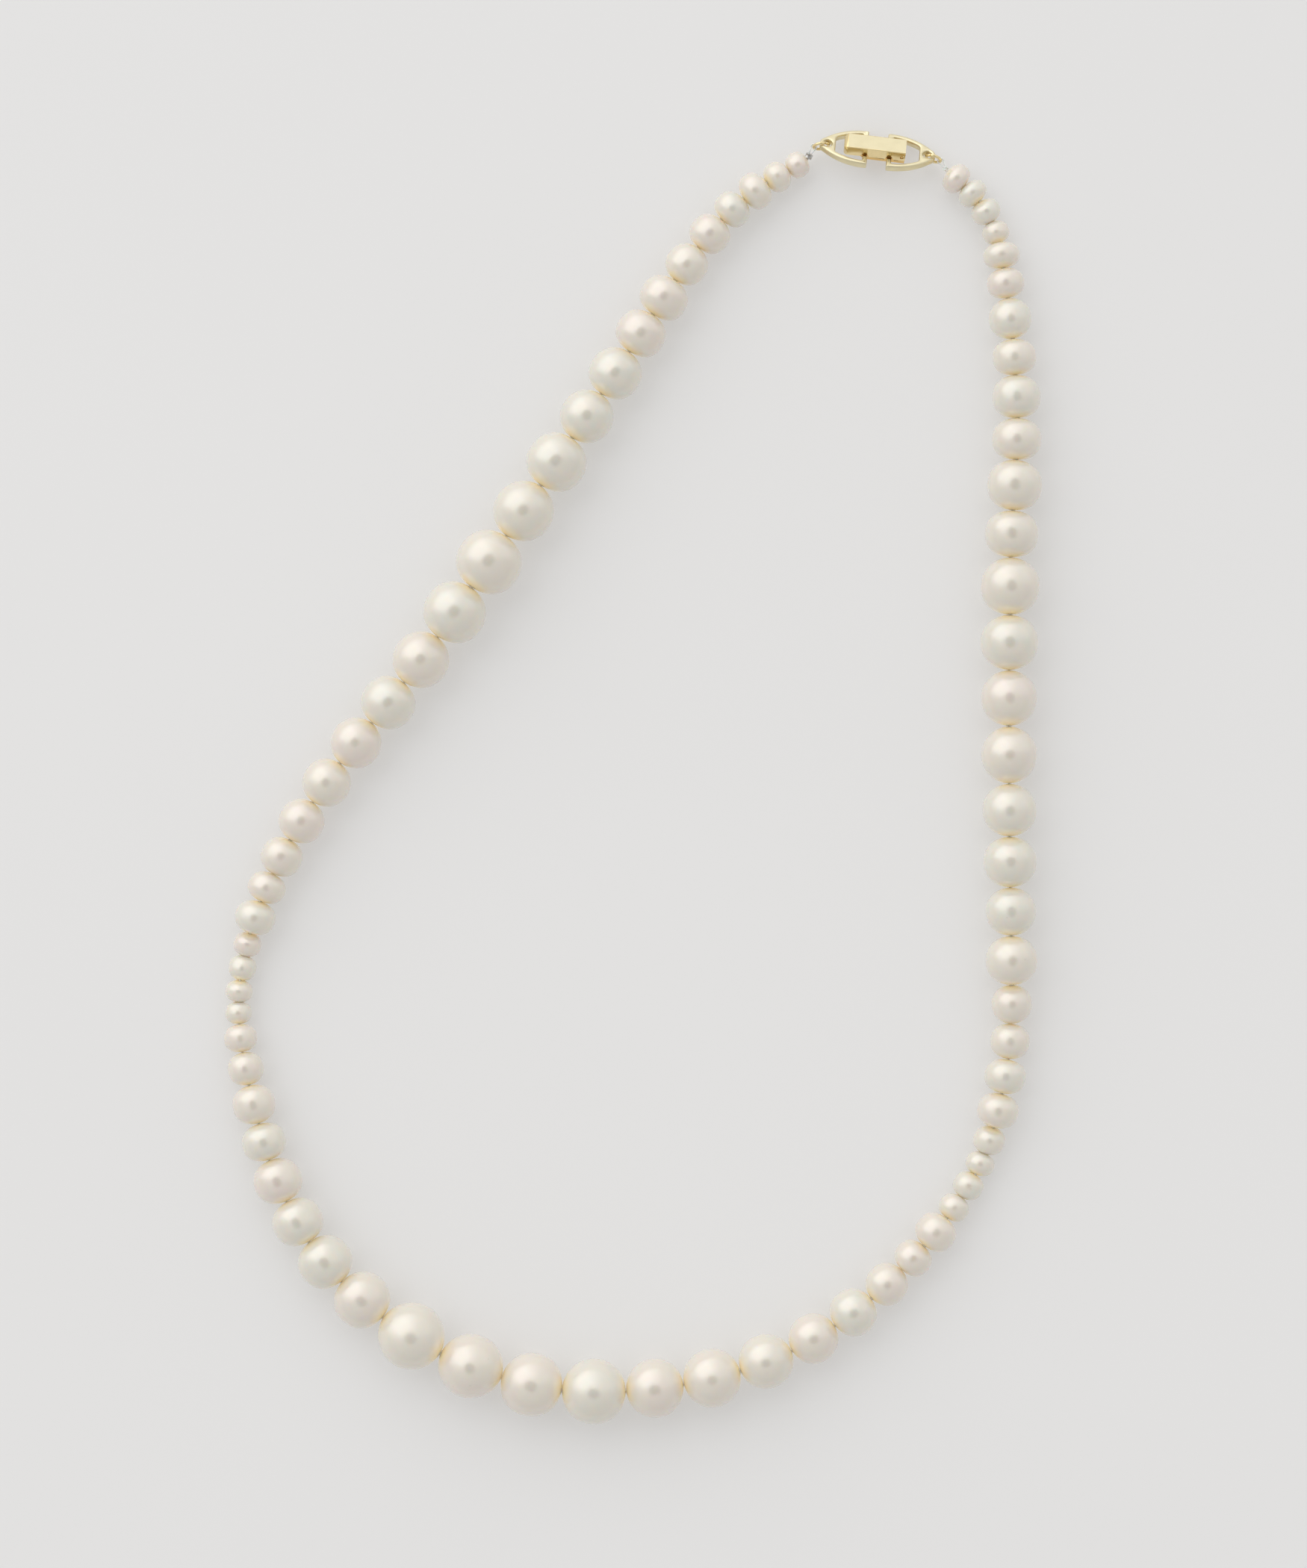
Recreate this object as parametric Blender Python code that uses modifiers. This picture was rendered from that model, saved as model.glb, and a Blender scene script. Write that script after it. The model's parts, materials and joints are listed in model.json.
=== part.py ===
"""A graduated pearl necklace, laid flat and fastened.

Seventy-four pearls rise and fall in size along one silk thread. Each pearl is drilled through, and the
thread runs straight through the drill holes and turns only in the gaps between pearls. The thread's two
ends loop round two jump rings, and the rings hang in the eyes of a fold-over clasp: two forked frames, a
leaf hinged on the left frame's pin, and a lift-up cover hinged at the leaf's far end that traps the right
frame's catch bar.

Lengths are millimetres in this file and become metres where objects are made. X runs across the necklace,
Y runs from its lowest pearl to its clasp, and it lies on Z = 0.
"""

import math

import bpy
import numpy as np
from mathutils import Matrix, Vector

MM = 0.001

# ---------------------------------------------------------------- pearls
# Width of each pearl across the thread, and the length of thread it takes up,
# from the pearl beside the left ring, down, round the bottom and up to the right ring.
PEARLS = [
    (3.6, 3.1), (4.2, 3.3), (5.2, 3.8), (5.2, 4.1), (5.6, 4.9), (5.8, 5.4), (6.6, 5.5), (6.8, 5.9),
    (7.2, 6.8), (7.3, 7.1), (8.2, 7.6), (8.2, 8.2), (8.9, 8.3), (8.5, 8.0), (7.7, 7.6), (7.4, 6.9),
    (6.9, 6.9), (6.6, 6.4), (6.2, 5.9), (5.7, 5.1), (5.2, 4.1), (5.5, 4.5), (3.8, 3.1), (3.8, 3.4),
    (3.7, 2.9), (3.6, 3.0), (4.5, 3.8), (4.9, 4.5), (5.8, 5.3), (6.0, 5.1), (6.6, 6.0), (6.9, 6.2),
    (7.4, 6.9), (7.7, 7.3), (9.0, 9.1), (8.7, 8.8), (8.6, 8.3), (8.8, 8.6), (7.9, 7.8), (7.9, 7.8),
    (7.4, 7.4), (6.8, 6.7), (6.5, 6.1), (5.8, 5.6), (5.2, 4.4), (5.6, 4.8), (4.2, 3.4), (4.2, 3.6),
    (4.0, 3.1), (4.3, 3.7), (5.6, 4.7), (5.6, 4.7), (5.3, 4.8), (5.5, 5.2), (7.0, 6.6), (6.8, 6.5),
    (7.2, 6.8), (7.3, 7.1), (7.6, 7.7), (7.6, 7.5), (7.8, 7.4), (8.0, 7.7), (7.2, 6.3), (7.4, 6.8),
    (6.7, 5.6), (6.5, 5.8), (5.9, 4.9), (5.8, 5.5), (5.1, 4.1), (5.0, 3.5), (3.7, 3.0), (4.1, 3.2),
    (4.2, 2.9), (4.2, 3.1),
]
PEARL_SCALE = 1.0        # every pearl's width
PEARL_GAP = 0.24         # between two pearls, along the thread
DRILL_RADIUS = 0.40      # of the hole through each pearl
NECK_RADIUS = 1.00       # of the nacre that joins the pearls of a run
PEARL_SIDES = 12
PEARL_SPANS = 5          # points on a pearl's side, between its poles

# Small neighbours are made as one node, so that the necklace stays within sixty nodes.
# Each run is its first and last pearl, counted from 1.
RUNS = [
    (1, 4), (5, 6), (7, 8), (20, 22), (23, 26), (27, 29), (30, 31), (42, 44), (45, 47), (48, 50),
    (51, 53), (54, 55), (65, 66), (67, 68), (69, 71), (72, 74),
]

# The lie of the thread on the table, from the left ring round to the right one.
ROUTE = [
    (23.3, 82.7), (19.3, 80.3), (13.2, 76.0), (7.0, 68.3), (-2.5, 53.7), (-14.8, 35.2), (-28.5, 15.3),
    (-41.2, -1.0), (-47.2, -11.0), (-50.7, -19.0), (-52.9, -29.0), (-52.6, -35.3), (-50.7, -44.2),
    (-47.5, -54.4), (-41.1, -65.3), (-29.6, -75.0), (-21.2, -79.0), (-13.2, -81.6), (-4.7, -82.2),
    (3.5, -81.8), (18.4, -78.1), (29.9, -71.4), (37.8, -64.1), (43.2, -57.4), (46.7, -51.4),
    (48.9, -44.2), (50.5, -35.0), (50.5, -24.1), (50.2, -4.1), (50.2, 18.4), (50.5, 32.9),
    (51.3, 45.6), (50.9, 56.5), (49.7, 66.6), (48.5, 73.2), (45.3, 78.3), (42.0, 81.0),
]
ROUTE_SCALE = 1.0
SAMPLES_PER_SPAN = 60

# Folds across the loop: the pearl before the fold on the left side and on the right side.
FOLDS = [
    (33, 44), (31, 47), (29, 50), (26, 53), (22, 55), (19, 57), (16, 59), (14, 60), (12, 62),
    (10, 64), (8, 66), (6, 68), (4, 71),
]

# ---------------------------------------------------------------- thread, loops, crimps and rings
THREAD_RADIUS = 0.18
LOOP_WIRE_RADIUS = 0.11
LOOP_CLEARANCE = 0.08    # from the loop to the ring wire it goes round
RING_RADIUS = 1.00       # to the middle of the ring's wire
RING_WIRE_RADIUS = 0.20
RING_LEAN = 0.40         # share of the clasp's lean that the rings take
CRIMP_RADIUS = 0.50
CRIMP_LENGTH = 0.66
CRIMP_BORE_RADIUS = 0.27
CRIMP_CLEARANCE = 0.10   # from the last pearl to its crimp
LOOP_SEAT = 0.08         # how far the loop's legs reach into the crimp
RING_SIDES = 18
RING_WIRE_SIDES = 6

# ---------------------------------------------------------------- clasp
# U runs from the left eye to the right eye, V across the clasp and W up through its frames.
CLASP_RISE = 1.87              # from the middle of the route's two ends to the middle of the clasp
CLASP_HEIGHT = 2.35            # of the middle of the frames above the table
CLASP_TURN = math.radians(-6.65)
CLASP_LEAN = math.radians(-37.0)
LEFT_REACH = (-2.70, -1.80)    # from the left eye to the thread's left end
RIGHT_REACH = (2.69, -1.95)    # from the right eye to the thread's right end
REACH_EASE = 60.0              # how much of the route bends to meet the clasp
EYE_SPAN = 13.4                # from eye to eye
EYE_RADIUS = 1.10
EYE_BORE_RADIUS = 0.60
FRAME_THICKNESS = 1.00
FRAME_HALF_WIDTH = 3.10
FRAME_CROWN = 5.00             # where the arms are widest apart, from the eye
FRAME_ARC_RADIUS = 8.20        # of the arms' outer edge
ARM_WIDTH = 0.80
BRIDGE_INNER = 1.20            # where the opening starts, from the eye
LUG_LENGTH = 0.70              # along the clasp
LUG_INNER = 1.62               # from the middle line to the lug's end
FRAME_BEVEL = 0.10
PIN_RADIUS = 0.30
PIN_CLEARANCE = 0.04
PIN_HALF_LENGTH = 2.65
LEAF_HALF_WIDTH = 0.92
LEAF_PLATE = 0.36              # thickness of the leaf's plate
KNUCKLE_WALL = 0.26
COVER_START = 2.20             # the free, nail-lift end
COVER_END = 10.45
COVER_HALF_WIDTH = 1.32
COVER_TOP = 1.45
COVER_WALL = 0.24
COVER_CORNER = 0.22
ARCH_CLEARANCE = 0.24          # from a pin to the arch in the cover's wall
HINGE_INSET = 0.45             # from the cover's hinge end to its pin
HINGE_HEIGHT = 0.55            # of the cover's pin above the frames' middle
COVER_PIN_RADIUS = 0.20
ROUND_SIDES = 16


# ---------------------------------------------------------------- scene
def clear_scene():
    for item in list(bpy.data.objects):
        bpy.data.objects.remove(item, do_unlink=True)


def new_collection(name, parent):
    collection = bpy.data.collections.new(name)
    parent.children.link(collection)
    return collection


clear_scene()
NECKLACE = new_collection("pearl_necklace", bpy.context.scene.collection)
CUTTERS = new_collection("cutters", bpy.context.scene.collection)


def material(name, colour, roughness, metallic=0.0, coat=0.0):
    result = bpy.data.materials.new(name)
    result.use_nodes = True
    shader = result.node_tree.nodes["Principled BSDF"]
    shader.inputs["Base Color"].default_value = (*colour, 1.0)
    shader.inputs["Roughness"].default_value = roughness
    shader.inputs["Metallic"].default_value = metallic
    shader.inputs["Coat Weight"].default_value = coat
    result.diffuse_color = (*colour, 1.0)
    return result


PEARL = material("pearl", (0.72, 0.64, 0.53), 0.22, 0.0, 0.4)
GOLD = material("gold", (0.83, 0.68, 0.38), 0.30, 1.0)
SILVER = material("silver", (0.62, 0.62, 0.60), 0.30, 1.0)
SILK = material("silk", (0.88, 0.86, 0.80), 0.75)


def keep(item, surface):
    item.data.materials.clear()
    item.data.materials.append(surface)
    for collection in list(item.users_collection):
        collection.objects.unlink(item)
    NECKLACE.objects.link(item)
    return item


def as_cutter(item):
    for collection in list(item.users_collection):
        collection.objects.unlink(item)
    CUTTERS.objects.link(item)
    item.hide_render = True
    item.display_type = "WIRE"
    return item


def boolean(item, cutter, operation):
    modifier = item.modifiers.new(operation.lower(), "BOOLEAN")
    modifier.object = cutter
    modifier.operation = operation
    modifier.solver = "EXACT"


def mesh_from_curve(item):
    """Turn a curve object into a welded mesh object of the same name and place."""
    graph = bpy.context.evaluated_depsgraph_get()
    name = item.name
    mesh = bpy.data.meshes.new_from_object(item.evaluated_get(graph))
    place = item.matrix_world.copy()
    bpy.data.objects.remove(item, do_unlink=True)
    result = bpy.data.objects.new(name, mesh)
    result.matrix_world = place
    bpy.context.scene.collection.objects.link(result)
    bpy.context.view_layer.update()
    weld = result.modifiers.new("weld", "WELD")
    weld.merge_threshold = 1e-6
    return result


def smooth(item):
    item.data.shade_smooth()
    item.data.set_sharp_from_angle(angle=math.radians(40))


def tube(name, points, radius, cyclic=False):
    """A round tube through points given in millimetres."""
    curve = bpy.data.curves.new(name, "CURVE")
    curve.dimensions = "3D"
    curve.bevel_depth = radius * MM
    curve.bevel_resolution = 2
    curve.use_fill_caps = not cyclic
    spline = curve.splines.new("POLY")
    spline.points.add(len(points) - 1)
    for slot, point in zip(spline.points, points):
        slot.co = (point[0] * MM, point[1] * MM, point[2] * MM, 1.0)
    spline.use_cyclic_u = cyclic
    item = bpy.data.objects.new(name, curve)
    bpy.context.scene.collection.objects.link(item)
    bpy.context.view_layer.update()
    return item


def flat(name, outlines, thickness, bevel=0.0):
    """A plate from outlines in millimetres: the first is its edge, the others are its holes."""
    curve = bpy.data.curves.new(name, "CURVE")
    curve.dimensions = "2D"
    curve.fill_mode = "BOTH"
    curve.extrude = thickness * MM / 2
    for outline in outlines:
        spline = curve.splines.new("POLY")
        spline.points.add(len(outline) - 1)
        for slot, point in zip(spline.points, outline):
            slot.co = (point[0] * MM, point[1] * MM, 0.0, 1.0)
        spline.use_cyclic_u = True
    item = bpy.data.objects.new(name, curve)
    bpy.context.scene.collection.objects.link(item)
    bpy.context.view_layer.update()
    item = mesh_from_curve(item)
    if bevel:
        edge = item.modifiers.new("bevel", "BEVEL")
        edge.width = bevel * MM
        edge.segments = 1
        edge.limit_method = "ANGLE"
        edge.angle_limit = math.radians(50)
    return item


def turned(name, profile, sides, closed):
    """A profile in millimetres, turned about its own Z axis."""
    mesh = bpy.data.meshes.new(name)
    vertices = [(x * MM, 0.0, z * MM) for x, z in profile]
    edges = [(i, i + 1) for i in range(len(profile) - 1)]
    if closed:
        edges.append((len(profile) - 1, 0))
    mesh.from_pydata(vertices, edges, [])
    item = bpy.data.objects.new(name, mesh)
    bpy.context.scene.collection.objects.link(item)
    screw = item.modifiers.new("screw", "SCREW")
    screw.axis = "Z"
    screw.angle = math.tau
    screw.steps = sides
    screw.render_steps = sides
    screw.use_merge_vertices = True
    screw.merge_threshold = 1e-6
    screw.use_smooth_shade = True
    return item


def rod(name, radius, length, place, sides=ROUND_SIDES):
    bpy.ops.mesh.primitive_cylinder_add(vertices=sides, radius=radius * MM, depth=length * MM)
    item = bpy.context.object
    item.name = name
    item.matrix_world = place
    return item


def circle(centre, radius, start=0.0, end=math.tau, steps=ROUND_SIDES):
    """Points on an arc from start to end; a whole circle leaves out its repeated last point."""
    count = steps if abs(end - start) >= math.tau - 1e-9 else steps + 1
    return [
        (
            centre[0] + radius * math.cos(start + (end - start) * i / steps),
            centre[1] + radius * math.sin(start + (end - start) * i / steps),
        )
        for i in range(count)
    ]


# ---------------------------------------------------------------- the thread's lie
def clasp_eyes():
    """The two eyes on the table's plane. The clasp sits midway between the route's ends."""
    ends = np.array([ROUTE[0], ROUTE[-1]]) * ROUTE_SCALE
    middle = ends.mean(axis=0) + np.array((0.0, CLASP_RISE))
    half = np.array((math.cos(CLASP_TURN), math.sin(CLASP_TURN))) * EYE_SPAN / 2
    return middle - half, middle + half


def meet_clasp(points):
    """Draw both ends of the route to the clasp, less and less further along it."""
    eyes = clasp_eyes()
    steps = np.linalg.norm(np.diff(points, axis=0), axis=1)
    run = np.concatenate([[0.0], np.cumsum(steps)])
    left = np.clip(1.0 - run / REACH_EASE, 0.0, 1.0)
    right = np.clip(1.0 - (run[-1] - run) / REACH_EASE, 0.0, 1.0)
    pull_left = eyes[0] + np.array(LEFT_REACH) - points[0]
    pull_right = eyes[1] + np.array(RIGHT_REACH) - points[-1]
    return points + np.outer(left ** 2, pull_left) + np.outer(right ** 2, pull_right)


def smooth_route():
    """Closely spaced points on a smooth curve through the route points."""
    points = meet_clasp(np.array(ROUTE) * ROUTE_SCALE)
    ends = [2 * points[0] - points[1], 2 * points[-1] - points[-2]]
    points = np.vstack([ends[0], points, ends[1]])
    fine = []
    for i in range(1, len(points) - 2):
        p0, p1, p2, p3 = points[i - 1:i + 3]
        t0 = 0.0
        t1 = t0 + math.sqrt(np.linalg.norm(p1 - p0))
        t2 = t1 + math.sqrt(np.linalg.norm(p2 - p1))
        t3 = t2 + math.sqrt(np.linalg.norm(p3 - p2))
        for t in np.linspace(t1, t2, SAMPLES_PER_SPAN, endpoint=False):
            a1 = p0 * (t1 - t) / (t1 - t0) + p1 * (t - t0) / (t1 - t0)
            a2 = p1 * (t2 - t) / (t2 - t1) + p2 * (t - t1) / (t2 - t1)
            a3 = p2 * (t3 - t) / (t3 - t2) + p3 * (t - t2) / (t3 - t2)
            b1 = a1 * (t2 - t) / (t2 - t0) + a2 * (t - t0) / (t2 - t0)
            b2 = a2 * (t3 - t) / (t3 - t1) + a3 * (t - t1) / (t3 - t1)
            fine.append(b1 * (t2 - t) / (t2 - t1) + b2 * (t - t1) / (t2 - t1))
    fine.append(points[-2])
    return np.array(fine)


def lay_thread():
    """The points in the gaps where the thread turns: one more than there are pearls."""
    fine = smooth_route()
    run = np.concatenate([[0.0], np.cumsum(np.linalg.norm(np.diff(fine, axis=0), axis=1))])
    pitch = np.array([length for _, length in PEARLS])
    stations = np.concatenate([[0.0], np.cumsum(pitch)]) * run[-1] / pitch.sum()
    plan = np.column_stack([np.interp(stations, run, fine[:, 0]), np.interp(stations, run, fine[:, 1])])
    # Heights: each pearl rests on the table, as near as the thread through its neighbours lets it.
    radii = np.array([width for width, _ in PEARLS]) * PEARL_SCALE / 2
    count = len(radii)
    rest = np.zeros((count, count + 1))
    level = np.zeros((count, count + 1))
    for i in range(count):
        rest[i, i:i + 2] = 0.5
        level[i, i:i + 2] = (-0.12, 0.12)
    heights = np.linalg.lstsq(
        np.vstack([rest, level]), np.concatenate([radii, np.zeros(count)]), rcond=None
    )[0]
    lowest = min((heights[i] + heights[i + 1]) / 2 - radii[i] for i in range(count))
    return np.column_stack([plan, heights - lowest]), radii


TURNS, RADII = lay_thread()


def pearl_place(index):
    """The pearl's middle, its own axes in the world and half its length along the thread."""
    start = Vector(TURNS[index])
    end = Vector(TURNS[index + 1])
    along = (end - start).normalized()
    side = along.cross(Vector((0.0, 0.0, 1.0))).normalized()
    up = side.cross(along)
    axes = Matrix((side, up, along)).transposed().to_4x4()
    return (start + end) / 2, axes, (end - start).length / 2 - PEARL_GAP / 2


def pearl_profile(radius, half_length, bore):
    """From the top pole down the outside to the bottom pole, and up the bore if there is one."""
    begin = math.asin(bore / radius)
    profile = []
    for i in range(PEARL_SPANS + 2):
        angle = begin + (math.pi - 2 * begin) * i / (PEARL_SPANS + 1)
        profile.append((radius * math.sin(angle), half_length * math.cos(angle)))
    if not bore:
        profile[0] = (0.0, half_length)
        profile[-1] = (0.0, -half_length)
    return profile


def make_pearl(index, name, bore):
    middle, axes, half_length = pearl_place(index)
    item = turned(name, pearl_profile(RADII[index], half_length, bore), PEARL_SIDES, bool(bore))
    item.matrix_world = Matrix.Translation(middle * MM) @ axes
    return item


def make_run(first, last):
    """Neighbouring pearls joined by short necks and drilled through together."""
    name = f"pearls_{first:02d}_{last:02d}"
    middles = [pearl_place(i)[0] for i in range(first - 1, last)]
    joints = [Vector(TURNS[i]) for i in range(first, last)]
    spine = [middles[0]]
    for joint, middle in zip(joints, middles[1:]):
        spine.extend([joint, middle])
    run = mesh_from_curve(tube(name, spine, NECK_RADIUS))
    for number in range(first, last + 1):
        pearl = make_pearl(number - 1, f"{name}_solid_{number:02d}", 0.0)
        boolean(run, as_cutter(pearl), "UNION")
    drill_line = [Vector(TURNS[i]) for i in range(first - 1, last + 1)]
    drill = mesh_from_curve(tube(f"{name}_drill", drill_line, DRILL_RADIUS))
    boolean(run, as_cutter(drill), "DIFFERENCE")
    return keep(run, PEARL)


# ---------------------------------------------------------------- clasp pieces
def clasp_frame():
    plan = Matrix.Translation(Vector((*clasp_eyes()[0], CLASP_HEIGHT)) * MM)
    return plan @ Matrix.Rotation(CLASP_TURN, 4, "Z") @ Matrix.Rotation(CLASP_LEAN, 4, "X")


CLASP = clasp_frame()
# Turns a piece made along Z so that it lies along V, and an outline in X and Y so that it stands in U and W.
ALONG_V = Matrix.Rotation(math.radians(90), 4, "X")
PIN_U = FRAME_CROWN + 0.40 - LUG_LENGTH / 2
BAR_U = EYE_SPAN - PIN_U
HINGE_U = COVER_END - HINGE_INSET


def at(u, v, w):
    return CLASP @ Matrix.Translation(Vector((u, v, w)) * MM)


def arm_edge(u, radius):
    """How far the arm's edge of this radius stands from the middle line at u."""
    centre = FRAME_HALF_WIDTH - FRAME_ARC_RADIUS
    return centre + math.sqrt(radius ** 2 - (FRAME_CROWN - u) ** 2)


def frame_outline():
    """The left frame: a round eye, two bowed arms and the lugs at their ends."""
    end = PIN_U + LUG_LENGTH / 2
    lug = PIN_U - LUG_LENGTH / 2
    nose = -0.45
    steps = 7
    outer = [nose + (end - 0.15 - nose) * i / steps for i in range(steps + 1)]
    inner_radius = FRAME_ARC_RADIUS - ARM_WIDTH
    inner = [lug - 0.15 - (lug - 0.15 - BRIDGE_INNER) * i / 5 for i in range(6)]
    half = [(u, arm_edge(u, FRAME_ARC_RADIUS)) for u in outer]
    half.append((end, half[-1][1] - 0.15))
    half.append((end, LUG_INNER))
    half.append((lug, LUG_INNER))
    half.append((lug, arm_edge(lug, inner_radius) - 0.18))
    half.extend((u, arm_edge(u, inner_radius)) for u in inner[:-1])
    half.append((BRIDGE_INNER + 0.10, arm_edge(BRIDGE_INNER, inner_radius) - 0.02))
    half.append((BRIDGE_INNER, arm_edge(BRIDGE_INNER, inner_radius) - 0.25))
    start = math.atan2(half[0][1], half[0][0])
    nose_arc = circle((0.0, 0.0), EYE_RADIUS, start, math.tau - start, 10)[1:-1]
    lower = [(u, -v) for u, v in half]
    return nose_arc + lower + half[::-1]


def make_frame(name, right):
    outline = frame_outline()
    eye = circle((0.0, 0.0), EYE_BORE_RADIUS, steps=14)
    pin = PIN_U
    if right:
        outline = [(EYE_SPAN - u, v) for u, v in outline]
        eye = [(EYE_SPAN - u, v) for u, v in eye]
        pin = BAR_U
    item = flat(name, [outline, eye], FRAME_THICKNESS, FRAME_BEVEL)
    item.matrix_world = CLASP
    bore = rod(f"{name}_bore", PIN_RADIUS + PIN_CLEARANCE, 2 * PIN_HALF_LENGTH + 0.1,
               at(pin, 0.0, 0.0) @ ALONG_V)
    boolean(item, as_cutter(bore), "DIFFERENCE")
    return keep(item, GOLD)


def leaf_outline():
    """Side view in U and W: a knuckle, a plate, a cup for the catch bar and a hinge lug."""
    reach = PIN_RADIUS + PIN_CLEARANCE + KNUCKLE_WALL + 0.08
    cup = PIN_RADIUS + 0.10
    floor = -reach - LEAF_PLATE / 2
    plate_top = floor + LEAF_PLATE
    lug = HINGE_INSET - 0.02
    outline = circle((PIN_U, 0.0), reach, math.radians(-35), math.radians(240), 12)
    outline.append((PIN_U - 0.10, floor))
    outline.append((HINGE_U + lug, floor))
    outline.extend(circle((HINGE_U, HINGE_HEIGHT), lug, 0.0, math.pi, 8))
    outline.append((HINGE_U - lug, plate_top))
    outline.append((BAR_U + reach - 0.02, plate_top))
    outline.append((BAR_U + reach, 0.10))
    outline.append((BAR_U + cup, 0.10))
    outline.extend(circle((BAR_U, 0.0), cup, 0.0, -math.pi, 8))
    outline.append((BAR_U - cup, 0.30))
    outline.append((BAR_U - reach + 0.06, 0.30))
    outline.append((BAR_U - reach + 0.02, plate_top))
    return outline, floor


def make_leaf():
    outline, _ = leaf_outline()
    pin_hole = circle((PIN_U, 0.0), PIN_RADIUS + PIN_CLEARANCE, steps=14)
    hinge_hole = circle((HINGE_U, HINGE_HEIGHT), COVER_PIN_RADIUS + PIN_CLEARANCE, steps=12)
    item = flat("clasp_leaf", [outline, pin_hole, hinge_hole], 2 * LEAF_HALF_WIDTH)
    item.matrix_world = CLASP @ ALONG_V
    return keep(item, GOLD)


def box(name, low, high):
    """A box between two corners given in U, V and W."""
    size = [b - a for a, b in zip(low, high)]
    bpy.ops.mesh.primitive_cube_add(size=1.0)
    item = bpy.context.object
    item.name = name
    item.data.transform(Matrix.Diagonal((size[0] * MM, size[1] * MM, size[2] * MM, 1.0)))
    item.matrix_world = at(*[(a + b) / 2 for a, b in zip(low, high)])
    return item


def make_cover():
    item = box("clasp_cover", (COVER_START, -COVER_HALF_WIDTH, 0.0),
               (COVER_END, COVER_HALF_WIDTH, COVER_TOP))
    edge = item.modifiers.new("bevel", "BEVEL")
    edge.width = COVER_CORNER * MM
    edge.segments = 2
    edge.limit_method = "WEIGHT"
    weights = item.data.attributes.new("bevel_weight_edge", "FLOAT", "EDGE")
    for line in item.data.edges:
        ends = [item.data.vertices[i].co for i in line.vertices]
        upright = abs(ends[0].z - ends[1].z) > 1e-6
        on_top = ends[0].z > 0 and ends[1].z > 0
        free_end = ends[0].x < 0 and ends[1].x < 0
        weights.data[line.index].value = 1.0 if free_end and (upright or on_top) else 0.0
        if on_top and not free_end:
            weights.data[line.index].value = 0.45
    past = 1.0
    inside = box("cover_inside", (COVER_START + COVER_WALL, -COVER_HALF_WIDTH + COVER_WALL, -past),
                 (COVER_END + past, COVER_HALF_WIDTH - COVER_WALL, COVER_TOP - COVER_WALL))
    boolean(item, as_cutter(inside), "DIFFERENCE")
    across = 2 * COVER_HALF_WIDTH + past
    for name, u in (("cover_pin_arch", PIN_U), ("cover_bar_arch", BAR_U)):
        arch = rod(name, PIN_RADIUS + ARCH_CLEARANCE, across, at(u, 0.0, 0.0) @ ALONG_V)
        boolean(item, as_cutter(arch), "DIFFERENCE")
    hole = rod("cover_hinge_bore", COVER_PIN_RADIUS + PIN_CLEARANCE, across,
               at(HINGE_U, 0.0, HINGE_HEIGHT) @ ALONG_V, 14)
    boolean(item, as_cutter(hole), "DIFFERENCE")
    return keep(item, GOLD)


def make_pins():
    places = {
        "leaf_pin": (PIN_RADIUS, PIN_HALF_LENGTH, at(PIN_U, 0.0, 0.0)),
        "catch_bar": (PIN_RADIUS, PIN_HALF_LENGTH, at(BAR_U, 0.0, 0.0)),
        "cover_pin": (COVER_PIN_RADIUS, COVER_HALF_WIDTH - 0.02, at(HINGE_U, 0.0, HINGE_HEIGHT)),
    }
    return {
        name: keep(rod(name, radius, 2 * half, place @ ALONG_V, 14), GOLD)
        for name, (radius, half, place) in places.items()
    }


# ---------------------------------------------------------------- rings, crimps and loops
def ring_place(eye_u, end_turn):
    """A standing ring that hangs in an eye and leans towards the end pearl."""
    eye = (CLASP @ Vector((eye_u * MM, 0.0, 0.0))) / MM
    gap = Vector(end_turn)
    out = Vector((gap.x - eye.x, gap.y - eye.y, 0.0)).normalized()
    sideways = Vector((CLASP[0][0], CLASP[1][0], 0.0)).normalized()
    if sideways.dot(out) < 0:
        sideways.negate()
    reach = (out * 0.35 + sideways * 0.65).normalized()
    middle = Vector((eye.x, eye.y, max(eye.z, RING_RADIUS + RING_WIRE_RADIUS))) + reach * (RING_RADIUS - 0.12)
    return middle, reach


def make_ring(name, middle, reach):
    bpy.ops.mesh.primitive_torus_add(
        major_segments=RING_SIDES, minor_segments=RING_WIRE_SIDES,
        major_radius=RING_RADIUS * MM, minor_radius=RING_WIRE_RADIUS * MM,
    )
    item = bpy.context.object
    item.name = name
    lean = Matrix.Rotation(CLASP_LEAN * RING_LEAN, 3, "X") @ Vector((0.0, 0.0, 1.0))
    up = (lean - reach * lean.dot(reach)).normalized()
    axes = Matrix((reach, up, reach.cross(up))).transposed().to_4x4()
    item.matrix_world = Matrix.Translation(middle * MM) @ axes
    smooth(item)
    return keep(item, GOLD)


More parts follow.
